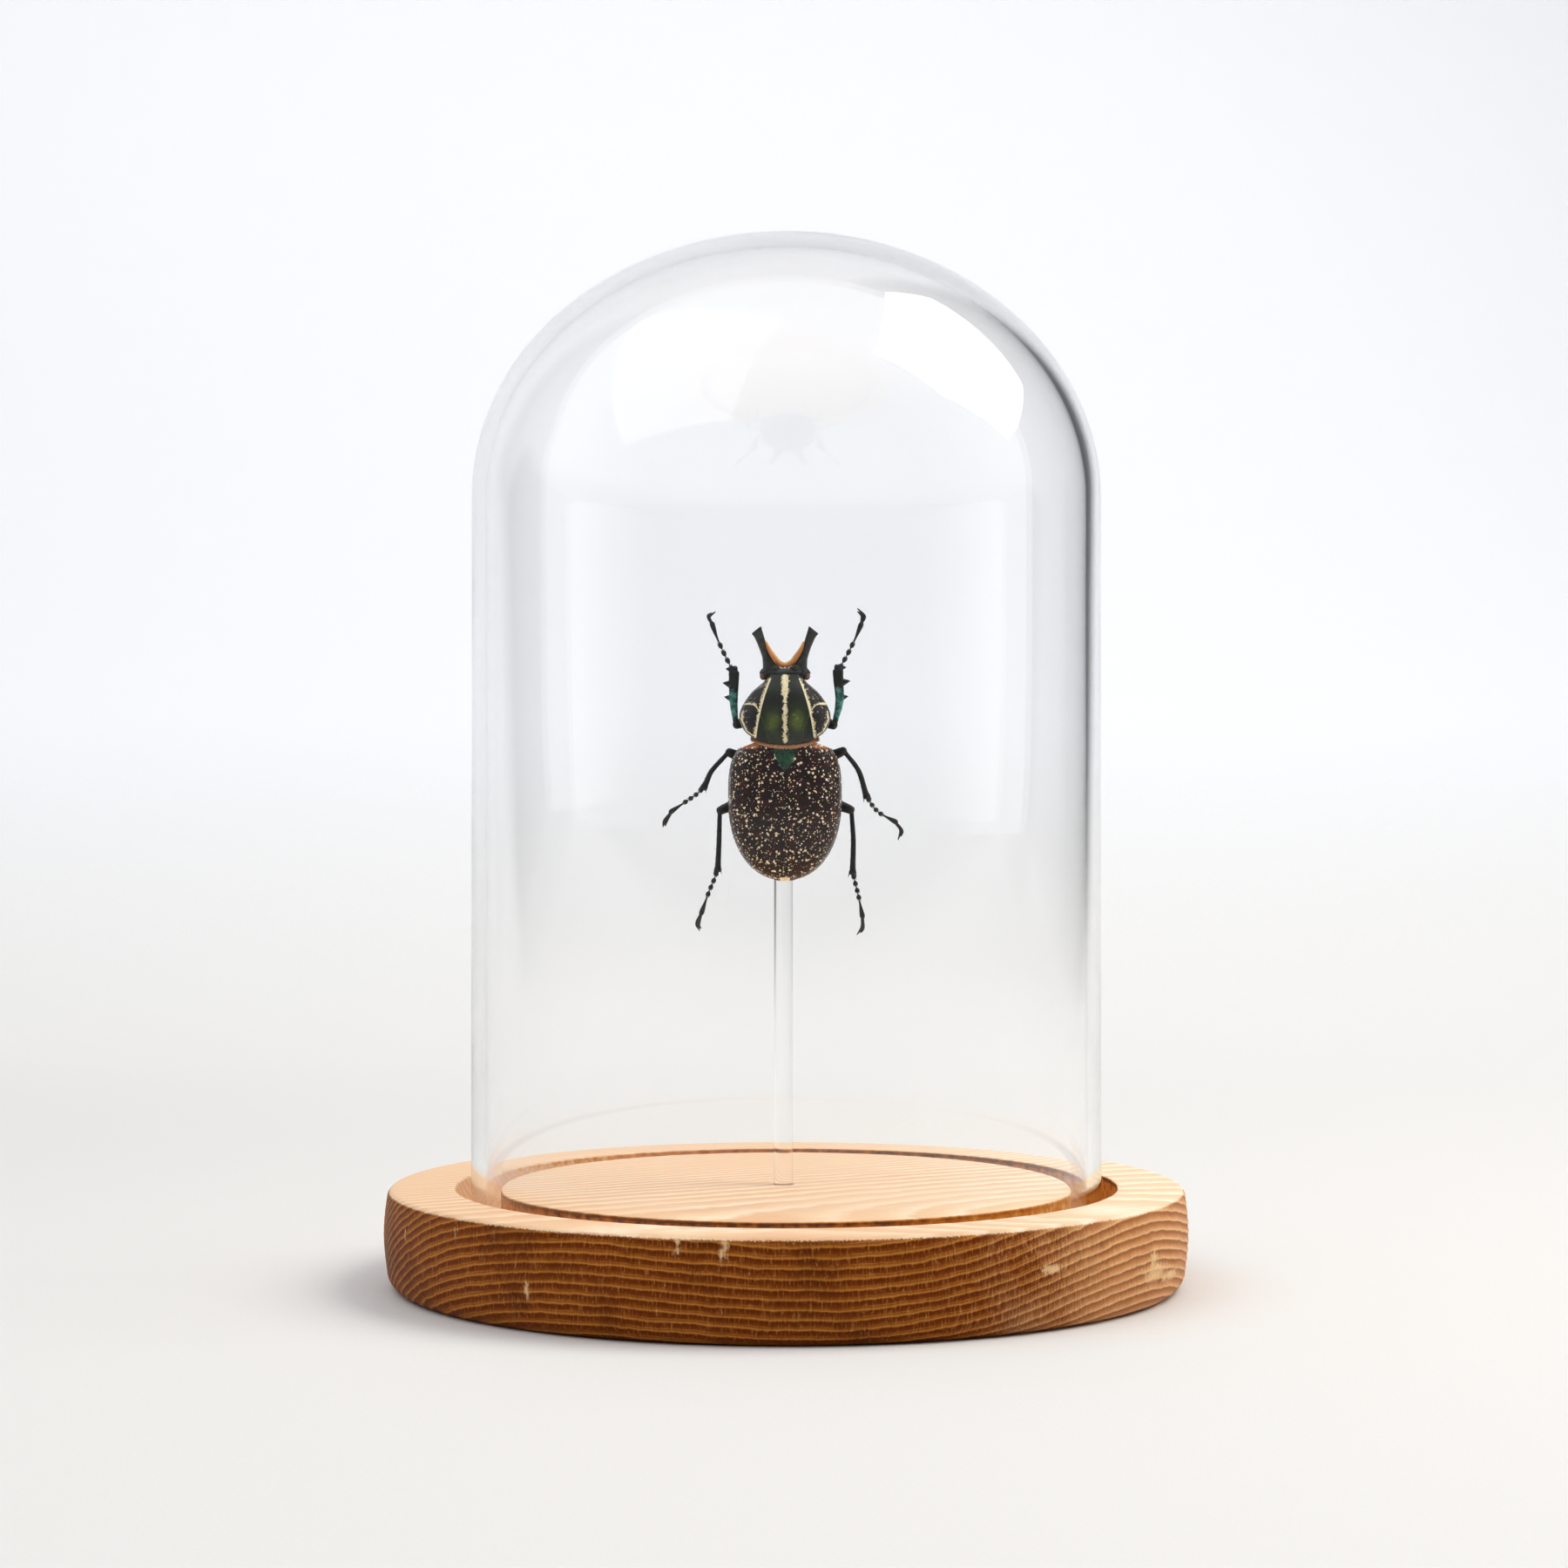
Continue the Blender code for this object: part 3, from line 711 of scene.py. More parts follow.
def wooden_base(finish):
    """The turned board, its side brushed so that the hard part of each ring stands out."""
    rows = [
        level_ring(radius, height, 480, ROD_X * max(0.0, 1 - radius / DISC_RADIUS))
        for radius, height in base_profile()
    ]
    points, faces = capped(rows)
    rings, radius = year_rings(points), from_axis(points)
    outward = points * (1, 1, 0) / np.maximum(radius, 1)[:, None]
    on_side = np.clip(radius - BASE_SIDE_RADIUS + 0.6, 0, 1)
    relief = RING_RELIEF * np.cos(2 * np.pi * (rings + 0.275 + 0.55 * waves(points, 9.0))) - 0.05
    over_groove = np.abs(radius - (DISC_RADIUS + GROOVE_RADIUS) / 2) < 4
    near_groove = hump(points[:, 2], BASE_THICKNESS, 0.6) * over_groove
    chipping = 0.16 * near_groove * waves(points, 1.7)
    points = points + outward * (on_side * relief + chipping)[:, None]
    piece(
        "torched_wooden_base",
        (points, faces),
        finish,
        "torched_wood",
        "wooden_base",
        crease=50,
        rings=rings,
        torch=BASE_THICKNESS - points[:, 2] + from_axis(points) - BASE_SIDE_RADIUS + 0.1,
        # router scorch, with painted shade on the groove walls
        char=router_scorch_and_shade(points),
        worn=worn_places(points),
        # less torching on the right of the side, with a painted sheen over it
        spared=spared_side(points),
    )


# ---------------- dome and rod


def glass_dome(finish):
    """A blown bell: an even wall with a slow wobble, closed by a rounded foot."""
    cap_foot = DOME_TOP - DOME_CAP_HEIGHT
    lip = DOME_WALL / 2
    bore = DOME_RADIUS - DOME_WALL

    def cap(radius, height, start, end):
        """The domed top's outline, from one angle off the top to another."""
        tilt = np.radians(np.linspace(start, end, 44))
        return [(radius * math.sin(a), cap_foot + height * math.cos(a)) for a in tilt]

    profile = [
        *cap(DOME_RADIUS, DOME_CAP_HEIGHT, 1.5, 90),
        *line_of((DOME_RADIUS, cap_foot - 3), (DOME_RADIUS, DOME_FOOT + lip + 1), 34),
        *rounded_corner((DOME_RADIUS - lip, DOME_FOOT + lip), lip, 0, -180, 11),
        *line_of((bore, DOME_FOOT + lip + 1), (bore, cap_foot), 34),
        *cap(bore, DOME_CAP_HEIGHT - DOME_WALL, 90, 1.5),
    ]
    turn = turns(256)
    rows = []
    for radius, height in profile:
        wobble = 1 + 0.0012 * np.cos(2 * turn + height / 30) + 0.0006 * np.cos(3 * turn - height / 17)
        rows.append(level_ring(radius * wobble, height, 256))
    dome = piece("blown_glass_dome", capped(rows), finish, "clear_glass", "glass_dome")
    dome.visible_shadow = False
    dome.visible_diffuse = False


def display_rod(finish):
    """A clear rod with eased ends."""
    profile = [
        (ROD_RADIUS - 0.25, ROD_LOW[2]),
        (ROD_RADIUS, ROD_LOW[2] + 0.25),
        *line_of((ROD_RADIUS, ROD_LOW[2] + 1), (ROD_RADIUS, ROD_HIGH[2] - 0.3), 64),
        *rounded_corner((ROD_RADIUS - 0.3, ROD_HIGH[2] - 0.3), 0.3, 0, 90, 4),
    ]
    rows = [level_ring(radius, height, 48, ROD_X) for radius, height in profile]
    piece("clear_display_rod", capped(rows), finish, "clear_acrylic", "display_rod")


# ---------------- beetle's body


def at(right, forward, up):
    """A point given in the beetle's own coordinates."""
    right, forward, up = np.broadcast_arrays(right, forward, up)
    spots = (BEETLE_X + right, BEETLE_MARGIN_Y - up, BEETLE_TAIL_Z + forward)
    return np.stack(spots, axis=-1).astype(float)


def mirrored(side, spots):
    """Points or limb rows that start with (right, forward, up), on one side of the beetle."""
    return [(*at(side * right, forward, up), *rest) for right, forward, up, *rest in spots]


def own(points):
    """(right, forward, up) of points in the frame."""
    x, y, z = np.asarray(points).T
    return x - BEETLE_X, z - BEETLE_TAIL_Z, BEETLE_MARGIN_Y - y


def swell(share, power):
    """The quarter of a superellipse: 1 at share 0, falling to 0 at share 1."""
    return (1 - np.minimum(share, 1.0) ** power) ** (1 / power)


def elytra_half_width(forward):
    rear = swell(np.clip((ELYTRA_WIDEST - forward) / ELYTRA_WIDEST, 0, 1), 2.15)
    front = swell(np.clip((forward - ELYTRA_WIDEST) / 9.9, 0, 1), 3.4)
    return ELYTRA_HALF_WIDTH * np.where(forward < ELYTRA_WIDEST, rear, front)


def elytra_height(forward):
    rear = forward < ELYTRA_HIGHEST
    share = np.abs(forward - ELYTRA_HIGHEST) / np.where(rear, ELYTRA_HIGHEST, 14.0)
    tuck = 0.35 * np.clip((forward - 20.4) / 1.9, 0, 1) ** 1.5
    return ELYTRA_HEIGHT * swell(share, 2.2) - tuck


def elytra_surface(right, forward):
    """How high the wing cases' back is at a place."""
    share = np.clip(np.abs(right) / np.maximum(elytra_half_width(forward), 0.1), 0, 1)
    return elytra_height(forward) * (1 - share**2.5) ** 0.4


def spaced(start, end, count):
    """Places from start to end, closer together towards both."""
    return start + (end - start) * (1 - np.cos(np.pi * np.arange(count) / (count - 1))) / 2


def body_ring(forward, half_width, height, depth, sides, margin=0.0):
    """A body section: a full, rounded back over a keeled underside, meeting at its margins."""
    across, rise = np.cos(turns(sides)), np.sin(turns(sides))
    power = np.where(rise > 0, BACK_POWER, KEEL_POWER)
    right = signed_power(across, power) * half_width
    up = margin + signed_power(rise, power) * np.where(rise > 0, height - margin, depth + margin)
    return at(right, forward, up)


def body_loft(sections, per_span, sides):
    """A body from sections of (forward, half width, height, depth[, height of the margins])."""
    rows = smooth(sections, per_span)
    return capped([body_ring(*section[:4], sides, *section[4:]) for section in rows])


def elytron_relief(right, forward, inner_edge):
    """A shoulder knob, a rear swelling, a furrow beside the seam and the seam's raised edge."""
    shoulder = 0.28 * np.exp(-((right - 5.6) ** 2) / 1.6 - ((forward - 19.0) ** 2) / 2.2)
    swelling = 0.2 * np.exp(-((right - 4.4) ** 2) / 3 - ((forward - 3.6) ** 2) / 3)
    furrow = 0.16 * np.exp(-((right - 2.9) ** 2) / 0.9) * math.exp(-(((forward - 13) / 6.5) ** 4))
    seam = 0.14 * hump(right, inner_edge, 0.22)
    return shoulder + swelling - furrow + seam - 0.1


def elytron(side, name, finish):
    """One wing case: a curved shell with a raised margin, open where the scutellum lies."""
    columns = 56
    loops = []
    for forward in spaced(ELYTRA_REAR, ELYTRA_TUCKED, 110):
        slant = max(0.0, forward - ELYTRA_SHOULDER) / (ELYTRA_TUCKED - ELYTRA_SHOULDER)
        reach = 1 - 0.38 * slant  # the front edge runs in under the shield
        beside = (forward - SCUTELLUM_TIP) / (SCUTELLUM_FRONT - SCUTELLUM_TIP)
        inner_edge = SUTURE_GAP + max(0.0, beside) * (SCUTELLUM_HALF_WIDTH + 0.05)
        lines = []
        for inset in (0.0, SHELL):
            width = elytra_half_width(forward) - inset * 0.6
            height = elytra_height(forward) - inset
            edges = (inner_edge / width, reach)
            turn = np.linspace(*(math.acos(min(1.0, x) ** (1 / BACK_POWER)) for x in edges), columns)
            right, up = width * np.cos(turn) ** BACK_POWER, height * np.sin(turn) ** BACK_POWER
            if inset == 0.0:
                up = up + elytron_relief(right, forward, inner_edge)
                right = right + 0.16 * hump(turn, 0.0, 0.09) * (slant == 0)
            lines.append(at(side * right, forward, up))
        loops.append(np.vstack([lines[0], lines[1][::-1]]))
    points, faces = skin(loops)
    wide = 2 * columns
    for start in (0, len(points) - wide):
        for c in range(columns - 1):
            faces.append((start + c, start + c + 1, start + wide - 2 - c, start + wide - 1 - c))
    right, forward, _ = own(points)
    right = np.abs(right)
    middle = 0.26 * hump(right, 0.0, 1.5) + 0.14 * np.clip((9 - forward) / 7, 0, 1)
    bare = 0.55 * hump(right, 2.9, 0.75) * np.exp(-(((forward - 13) / 5) ** 4))
    piece(
        f"speckled_{name}",
        (points, faces),
        finish,
        "speckled_maroon_chitin",
        name,
        crease=50,
        crowding=np.clip(0.92 + middle - bare, 0, 1),
        shoulder=np.clip((forward - 20.0) / 1.0, 0, 1) * np.clip((right - 3.4) / 1.2, 0, 1),
        tail_mark=np.minimum(0.85 - right, 0.55 - forward),
    )


def scutellum(finish):
    """The green triangle: a slightly domed plate with rounded sides."""
    across, rise = np.cos(turns(40)), np.sin(turns(40))
    rows = []
    for forward in spaced(SCUTELLUM_TIP, SCUTELLUM_FRONT + 0.4, 26):
        share = min(1.0, (forward - SCUTELLUM_TIP) / (SCUTELLUM_FRONT - SCUTELLUM_TIP))
        half = 0.05 + SCUTELLUM_HALF_WIDTH * (1.18 * share**0.7 - 0.18 * share**3)
        right = signed_power(across, 0.7) * half
        dome = 0.12 + 0.16 * share * (1 - (right / (half + 1e-6)) ** 2)
        up = elytra_height(forward) + np.where(rise > 0, dome * np.abs(rise) ** 0.6, 0.5 * rise)
        rows.append(at(right, forward, up))
    piece("emerald_scutellum", capped(rows), finish, "emerald_chitin", "scutellum")


def underside(span, depths, belly, drop, seams):
    """The body under the wing cases, stepped at the seams between its plates."""
    inset = SHELL + INNER_GAP
    rows = []
    for forward in spaced(*span, 70):
        share = (forward - span[0]) / (span[1] - span[0])
        depth = depths[0] + (depths[1] - depths[0]) * share + belly * math.sin(math.pi * share)
        step = 0.22 * (share * seams % 1) - 0.1
        width = float(elytra_half_width(forward)) - inset
        height = float(elytra_height(forward)) - inset - drop
        rows.append(body_ring(forward, width + 0.5 * step, max(height, 0.2), depth + step, 80))
    return capped(rows)


def abdomen(finish):
    shape = underside((0.7, 11.2), (1.2, 4.3), belly=0.9, drop=0.0, seams=6)
    piece("plated_abdomen", roughened(shape, 0.03, 0.5), finish, "black_chitin", "abdomen")


def thorax(finish, hair):
    """The chest, with the rounded hip segments of the middle and hind legs and short pale hair."""
    shape = underside((11.5, 21.1), (4.35, 3.6), belly=0.6, drop=0.7, seams=2)
    hind_hip = ((0.7, 12.3, -4.6, 0.7, 0.7), (2.4, 11.9, -4.5, 1.0, 0.7), (5.2, 11.6, -3.2, 0.8, 0.7))
    mid_hip = ((0.9, 17.6, -4.4, 0.8, 0.7), (2.6, 17.5, -4.6, 1.1, 0.7), (4.4, 18.6, -3.4, 0.7, 0.7))
    keel = ((0, 12.6, -4.5, 0.35, 0.5), (0, 16, -4.8, 0.35, 0.5), (0, 19.6, -4.3, 0.35, 0.5))
    neck = ((0, 19.0, 0.2, 3.6, 2.4), (0, 24.0, 0.2, 3.6, 2.4))
    hips = [limb(mirrored(side, hip), 16) for side in (-1, 1) for hip in (hind_hip, mid_hip)]
    whole = welded(join(shape, limb(mirrored(1, keel), 12), limb(mirrored(1, neck), 24), *hips), 0.14, 3)
    piece("plated_thorax", roughened(whole, 0.03, 0.5), finish, "black_chitin", "thorax")
    count = 1500
    right, forward = RANDOM.uniform(-6.5, 6.5, count), RANDOM.uniform(12, 20.5, count)
    depth = 4.4 * np.sqrt(np.clip(1 - (right / 7.6) ** 2, 0, 1))
    down = np.stack([right / 7.6, 0.7 + 0 * right, RANDOM.normal(-0.6, 0.3, count)], axis=1)
    add_hairs("belly_hair", at(right, forward, -depth), down, (0.5, 1.1), 0.018, (0, 0, -0.4), hair)


def pygidium(finish):
    """The last plate, which closes the tail under the tips of the wing cases."""
    sections = (
        (-0.1, 0.7, 0.3, 0.5),
        (0.05, 1.5, 0.7, 0.95),
        (0.45, 2.3, 1.2, 1.35),
        (0.9, 2.6, 1.3, 1.6),
    )
    points, faces = body_loft(sections, 6, 64)
    right, forward, _ = own(points)
    piece(
        "tail_plate",
        (points, faces),
        finish,
        "speckled_maroon_chitin",
        "pygidium",
        crowding=np.full(len(points), 0.3),
        tail_mark=np.minimum(0.85 - np.abs(right), 0.6 - forward),
    )


# The rear lobe lies over the wing cases, so its margins are raised
SHIELD_SECTIONS = (
    (21.2, 1.8, 4.55, -3.6, 4.1),
    (21.5, 3.1, 4.75, -3.2, 3.9),
    (22.3, 4.8, 4.9, -2.2, 3.3),
    (23.4, 6.3, 5.0, 2.6, 1.7),
    (25.3, 7.15, 5.0, 3.9, 0.2),
    (27.2, 6.8, 4.7, 3.9, 0.0),
    (29.5, 5.3, 4.0, 3.3, 0.0),
    (31.2, 3.4, 3.2, 2.5, 0.0),
    (32.3, 2.8, 2.5, 2.0, 0.0),
)


def prothorax(finish):
    """The shield behind the head, with its cream lines measured out on it."""
    points, faces = body_loft(SHIELD_SECTIONS, 14, 160)
    right, forward, up = own(points)
    aside = np.abs(right)
    ridge = 0.12 * hump(aside, 0.0, 0.7) * np.clip((32 - forward) / 2, 0, 1) * (up > 0)
    points = points - np.stack([0 * right, ridge, 0 * right], axis=1)
    stations, outline, _, _, margin = zip(*SHIELD_SECTIONS)
    on_back = up > np.interp(forward, stations, margin) - 0.6
    off_back = np.where(on_back, 0.0, 9.0)

    def beyond(value, low, high):
        return np.maximum(0, value - high) + np.maximum(0, low - value)

    def ended(line, past):
        """How far off a line each point is, counting how far it is past the line's end."""
        return line + np.copysign(4 * past, line) + off_back

    t = (31 - forward) / 8
    inner = aside - (2.6 + 3.0 * t - 1.0 * t**2)
    arc = forward - (27.7 - 0.75 * np.maximum(0, 5.3 - aside) ** 2)
    inset = np.interp(forward, stations, outline) - aside - 0.35
    piece(
        "lined_shield",
        (points, faces),
        finish,
        "olive_green_chitin",
        "prothorax",
        middle_line=aside + beyond(forward, 21.8, 32.0) + off_back,
        middle_width=0.33 + 0.24 * np.clip((forward - 28.6) / 0.6, 0, 1),
        inner_line=ended(inner, beyond(forward, 22.4, 31.7)),
        side_arc=ended(arc, beyond(aside, 4.2, 6.5)),
        margin_line=ended(inset, beyond(forward, 22.7, 26.6)),
        # where the shield's crown takes its painted highlights
        glow=0.75 * hump(aside, 1.9, 1.4) * hump(forward, 25.0, 2.2),
    )


# The inner and the outer edge, each as right and forward, then up and thickness
HORN_SECTIONS = (
    (0.0, 32.9, 3.5, 32.9, 0.2, 2.4),
    (1.3, 33.9, 3.5, 34.0, 0.4, 2.1),
    (2.1, 35.1, 3.6, 35.0, 0.7, 1.8),
    (2.65, 36.3, 4.0, 36.3, 1.0, 1.5),
    (3.0, 37.4, 4.45, 37.4, 1.4, 1.3),
    (3.35, 38.6, 4.85, 38.2, 1.8, 1.1),
    (3.75, 39.9, 5.25, 38.7, 2.2, 0.8),
)


def horn(side):
    """One flattened prong of the head's fork, with a slanting, slightly flared tip."""
    share = (1 + signed_power(np.cos(turns(24)), 0.8)) / 2
    rise = signed_power(np.sin(turns(24)), 0.8)
    rows = []
    for inner_x, inner_v, outer_x, outer_v, up, thick in smooth(HORN_SECTIONS, 8):
        right = inner_x + (outer_x - inner_x) * share
        forward = inner_v + (outer_v - inner_v) * share
        rows.append(at(side * right, forward, up + thick / 2 * rise))
    return capped(rows)


def head(finish):
    """The head capsule with its forked horn, the knobs at its foot and the rims round the eyes."""
    sections = (
        (32.0, 2.0, 2.0, 1.5),
        (32.5, 2.9, 2.1, 1.6),
        (32.9, 3.2, 1.9, 1.6),
        (33.3, 2.7, 1.4, 1.4),
    )
    rim = ((2.9, 33.5, 0.3, 0.22, 0.4), (3.5, 33.1, 0.2, 0.22, 0.4), (3.82, 32.6, 0.1, 0.22, 0.4))
    palp = ((0.9, 32.9, -1.4, 0.16, 0.16), (1.4, 33.7, -1.7, 0.16, 0.16), (2.0, 34.5, -1.5, 0.16, 0.16))
    knobs = (  # centre and radii
        ((1.65, 33.4, 1.75), (0.6, 0.45, 0.42)),
        ((2.7, 32.7, 0.4), (1.0, 1.0, 0.9)),
        ((3.05, 32.35, 0.1), (0.62, 0.9, 0.8)),
    )
    shapes = [body_loft(sections, 6, 48), horn(-1), horn(1)]
    for side in (-1, 1):
        shapes += [ball(at(side * right, forward, up), radii) for (right, forward, up), radii in knobs]
        shapes.append(limb(smooth(mirrored(side, rim), 4), 12))
        shapes.append(limb(smooth(mirrored(side, palp), 4), 10))
    whole = welded(join(*shapes), 0.075, 5)
    piece("forked_head", roughened(whole, 0.035, 0.35), finish, "black_chitin", "head")


def eyes(finish):
    for side, name in ((-1, "left"), (1, "right")):
        lens = ball(at(side * 3.42, 32.1, 0.35), (0.55, 0.62, 0.62), 20, 32)
        piece(f"faceted_eye_{name}", lens, finish, "brown_eye", f"eye_{name}")


def antennae(finish):
    """A bent stalk of small joints that ends in a club of three leaves."""
    for side, name in ((-1, "left"), (1, "right")):
        bends = ((1.9, 33.3, -2.0), (2.4, 34.1, -2.3), (2.65, 34.8, -2.05))
        stalk = smooth(mirrored(side, bends), 6)
        girths = 0.13 + 0.05 * np.sin(2.2 * np.arange(len(stalk)))
        shapes = [limb(np.column_stack([stalk, girths, girths]), 12)]
        for leaf in (0, 1, 2):
            foot = (2.6 + 0.16 * leaf, 34.8, -2.1 + 0.2 * leaf, 0.12, 0.2)
            tip = (2.85 + 0.14 * leaf, 36.0, -1.8 + 0.2 * leaf, 0.1, 0.26)
            shapes.append(limb(mirrored(side, (foot, tip)), 12))
        piece(f"clubbed_antenna_{name}", join(*shapes), finish, "black_chitin", f"antenna_{name}")


# ---------------- beetle's hair


def add_hairs(name, roots, directions, lengths, radius, droop, finish):
    count = len(roots)
    shape = hairs(roots, directions, RANDOM.uniform(*lengths, count), radius, np.array(droop, float))
    grow = np.tile((0.0, 0.0, 0.0, 0.55, 0.55, 0.55, 1.0), count)
    piece(name, shape, finish, "orange_setae", grow=grow)


# The right side of the V between the horns, down to its foot: right, forward
FRINGE_EDGE = (
    (2.95, 37.4),
    (2.75, 36.6),
    (2.4, 35.7),
    (1.95, 34.9),
    (1.35, 34.1),
    (0.6, 33.55),
    (0.0, 33.4),
)


def horn_fringe(finish):
    """A dense orange brush that lines the V between the horns, and thins out up their edges."""
    edge = smooth(FRINGE_EDGE, 8)
    stations = np.linspace(0, 1, len(edge))
    count = 6000
    share = RANDOM.uniform(0, 1, count)
    spot, ahead = (
        np.stack([np.interp(s, stations, edge[:, i]) for i in (0, 1)], axis=1)
        for s in (share, share + 0.02)
    )
    along = np.abs(unit(ahead - spot + 1e-9))
    side = np.where(RANDOM.uniform(size=count) < 0.5, -1.0, 1.0)
    up = 0.3 + 1.3 * (spot[:, 0] / 3) ** 1.5 + RANDOM.uniform(-0.45, 0.6, count)
    roots = at(side * (spot[:, 0] + 0.12), spot[:, 1] - 0.05, up)
    inward, out, onward = -side * along[:, 1], RANDOM.normal(-0.15, 0.3, count), along[:, 0] + 0.25
    directions = np.stack([inward, out, onward], axis=1) + RANDOM.normal(0, 0.2, (count, 3))
    reach = 0.35 + 0.6 * np.clip(share / 0.5, 0, 1)
    add_hairs("horn_fringe", roots, directions, (0.6 * reach, reach), 0.04, (0, 0, 0.1), finish)


def collar_fringe(finish):
    """Short brown-orange hair that shows behind the shield's rear edge."""
    count = 3600
    right = RANDOM.uniform(-5.3, 5.3, count)
    forward = 21.2 + 0.045 * right**2 + RANDOM.uniform(-0.1, 0.25, count)
    roots = at(right, forward, elytra_surface(right, forward) + RANDOM.uniform(0.2, 0.5, count))
    aside, out = RANDOM.normal(0, 0.3, count), RANDOM.normal(-0.35, 0.12, count)
    directions = np.stack([aside, out, -np.ones(count)], axis=1)
    add_hairs("collar_fringe", roots, directions, (0.45, 0.75), 0.035, (0, 0.1, 0), finish)


# ---------------- beetle's legs

# Where each leg bends, as right and forward: hip, knee, middle of the shin, ankle, three places along
# the toes, the claws' bend and their tips
LEG_PATHS = {
    "fore_left": (
        (-2.3, 26.3), (-7.75, 24.5), (-8.1, 28.2), (-8.05, 32.7),
        (-9.3, 35.1), (-10.6, 37.9), (-11.5, 40.4), (-12.1, 41.5), (-11.2, 42.4),
    ),
    "fore_right": (
        (2.3, 26.3), (7.8, 24.4), (8.6, 28.2), (8.35, 33.0),
        (9.7, 35.3), (11.0, 37.9), (12.0, 40.3), (12.4, 41.6), (11.3, 42.8),
    ),
    "mid_left": (
        (-2.4, 17.4), (-8.9, 20.2), (-11.5, 17.3), (-12.8, 14.6),
        (-14.0, 13.5), (-15.6, 12.4), (-17.8, 10.9), (-18.9, 9.3), (-19.1, 8.3),
    ),
    "mid_right": (
        (2.4, 17.4), (9.3, 20.4), (11.6, 17.3), (12.9, 13.2),
        (13.7, 11.9), (14.9, 10.6), (17.3, 9.25), (18.4, 7.9), (18.1, 6.4),
    ),
    "hind_left": (
        (-2.8, 11.5), (-10.3, 10.9), (-10.4, 6.4), (-10.6, 1.65),
        (-11.2, 0.0), (-12.0, -1.9), (-13.1, -5.0), (-13.8, -6.9), (-13.3, -8.0),
    ),
    "hind_right": (
        (2.8, 11.5), (10.5, 11.0), (10.8, 6.4), (10.7, 1.2),
        (11.15, -0.7), (11.6, -2.5), (12.2, -5.6), (12.3, -7.4), (11.6, -8.7),
    ),
}
# How high those places lie, and how far the thigh bows forward
LEG_HEIGHTS = {
    "fore": (-4.5, -1.9, -1.9, -1.9, -1.7, -1.6, -1.5, -1.8, -2.3),
    "mid": (-5.3, -2.4, -2.2, -2.1, -2.0, -1.9, -1.8, -2.1, -2.6),
    "hind": (-5.2, -2.4, -2.2, -2.1, -2.0, -1.9, -1.8, -2.1, -2.6),
}
THIGH_BOW = {"fore": 0.0, "mid": 0.0, "hind": 0.9}
SHIN_TEETH = {  # right and forward of their tips
    "fore_left": ((-9.6, 28.9), (-9.85, 31.1), (-9.4, 33.35)),
    "fore_right": ((10.0, 29.0), (10.3, 31.4), (9.7, 33.6)),
}
TOE_JOINTS = 4  # the beads of each foot
BEADS_END = 0.6  # how far along the foot they reach

# Half widths of a thigh, of a bead of the foot and of its last joint: (share of the length, half width)
THIGH = ((0.0, 0.62), (0.1, 0.55), (0.3, 0.9), (0.6, 0.95), (0.85, 0.8), (1.0, 0.68))
BEAD = ((0, 0.1), (0.2, 0.12), (0.4, 0.32), (0.75, 0.4), (0.93, 0.3), (1.0, 0.12))
LAST_JOINT = ((0, 0.13), (0.3, 0.2), (0.65, 0.36), (0.88, 0.42), (1.0, 0.28))
SPURS = ((-0.75, 0.75), (-0.25, 0.5), (0.3, 0.55), (0.8, 0.85))  # place across the shin's end, length


def leg_piece(name, shape, finish, node):
    """A leg is blacker than the head and the body."""
    piece(name, shape, finish, "black_chitin", node, leg=np.ones(len(shape[0])))


def femur(name, route, bow, finish):
    """The thigh, which swells from its hip joint and ends in a blunt knee."""
    hip, knee = route[:2]
    rows = [
        (*(hip + (knee - hip) * share + bow * FORWARD * math.sin(math.pi * share)), width, 0.75 * width)
        for share, width in THIGH
    ]
    shape = join(limb(smooth(rows, 8), 24), ball(hip, (0.75, 0.7, 0.75), 12, 20))
    leg_piece(f"{name}_thigh", roughened(shape, 0.03, 0.4), finish, f"{name}_femur")


def fore_tibia(name, route, finish):
    """A flat digging shin that widens to its end, with three teeth on its outer edge."""
    knee, shin, ankle = route[1:4]
    rights, forwards, ups = own(route[1:4])
    start = knee + unit(shin - knee) * 0.5
    broad = (shin + 2 * ankle) / 3
    spans = [(*start, 0.42, 0.42), (*shin, 0.66, 0.5), (*broad, 0.8, 0.5), (*ankle, 0.86, 0.42)]
    shapes = [limb(smooth(spans, 10), 24, power=0.85)]
    side, up = math.copysign(1.0, rights[2]), ups[1]
    for right, forward in SHIN_TEETH[name]:
        root = (right - side * 1.5, forward - 0.25, up, 0.75, 0.45)
        middle = (right - side * 0.7, forward - 0.1, up, 0.42, 0.3)
        point = (right, forward, up, 0.05, 0.06)
        shapes.append(limb(smooth(mirrored(1, (root, middle, point)), 6), 20))
    inner = at(rights[2] * 0.94, forwards[2] + 0.1, ups[2])
    shapes.append(spike(inner, inner + 0.9 * FORWARD, 0.14))
    points, faces = welded(join(*shapes), 0.06, 3)
    right, forward, _ = own(points)
    middle = np.interp(forward, forwards, rights) + 0.12 * side
    last_green = SHIN_TEETH[name][1][1] - 0.6
    lengthwise = np.clip((last_green - forward) / 1.5, 0, 1) * np.clip((forward - 24.9) / 1.2, 0, 1)
    crosswise = np.clip(1.9 - np.abs(right - middle) / 0.42, 0, 1)
    piece(
        f"{name}_toothed_shin",
        roughened((points, faces), 0.03, 0.35),
        finish,
        "emerald_chitin",
        f"{name}_tibia",
        green=lengthwise * crosswise,
    )


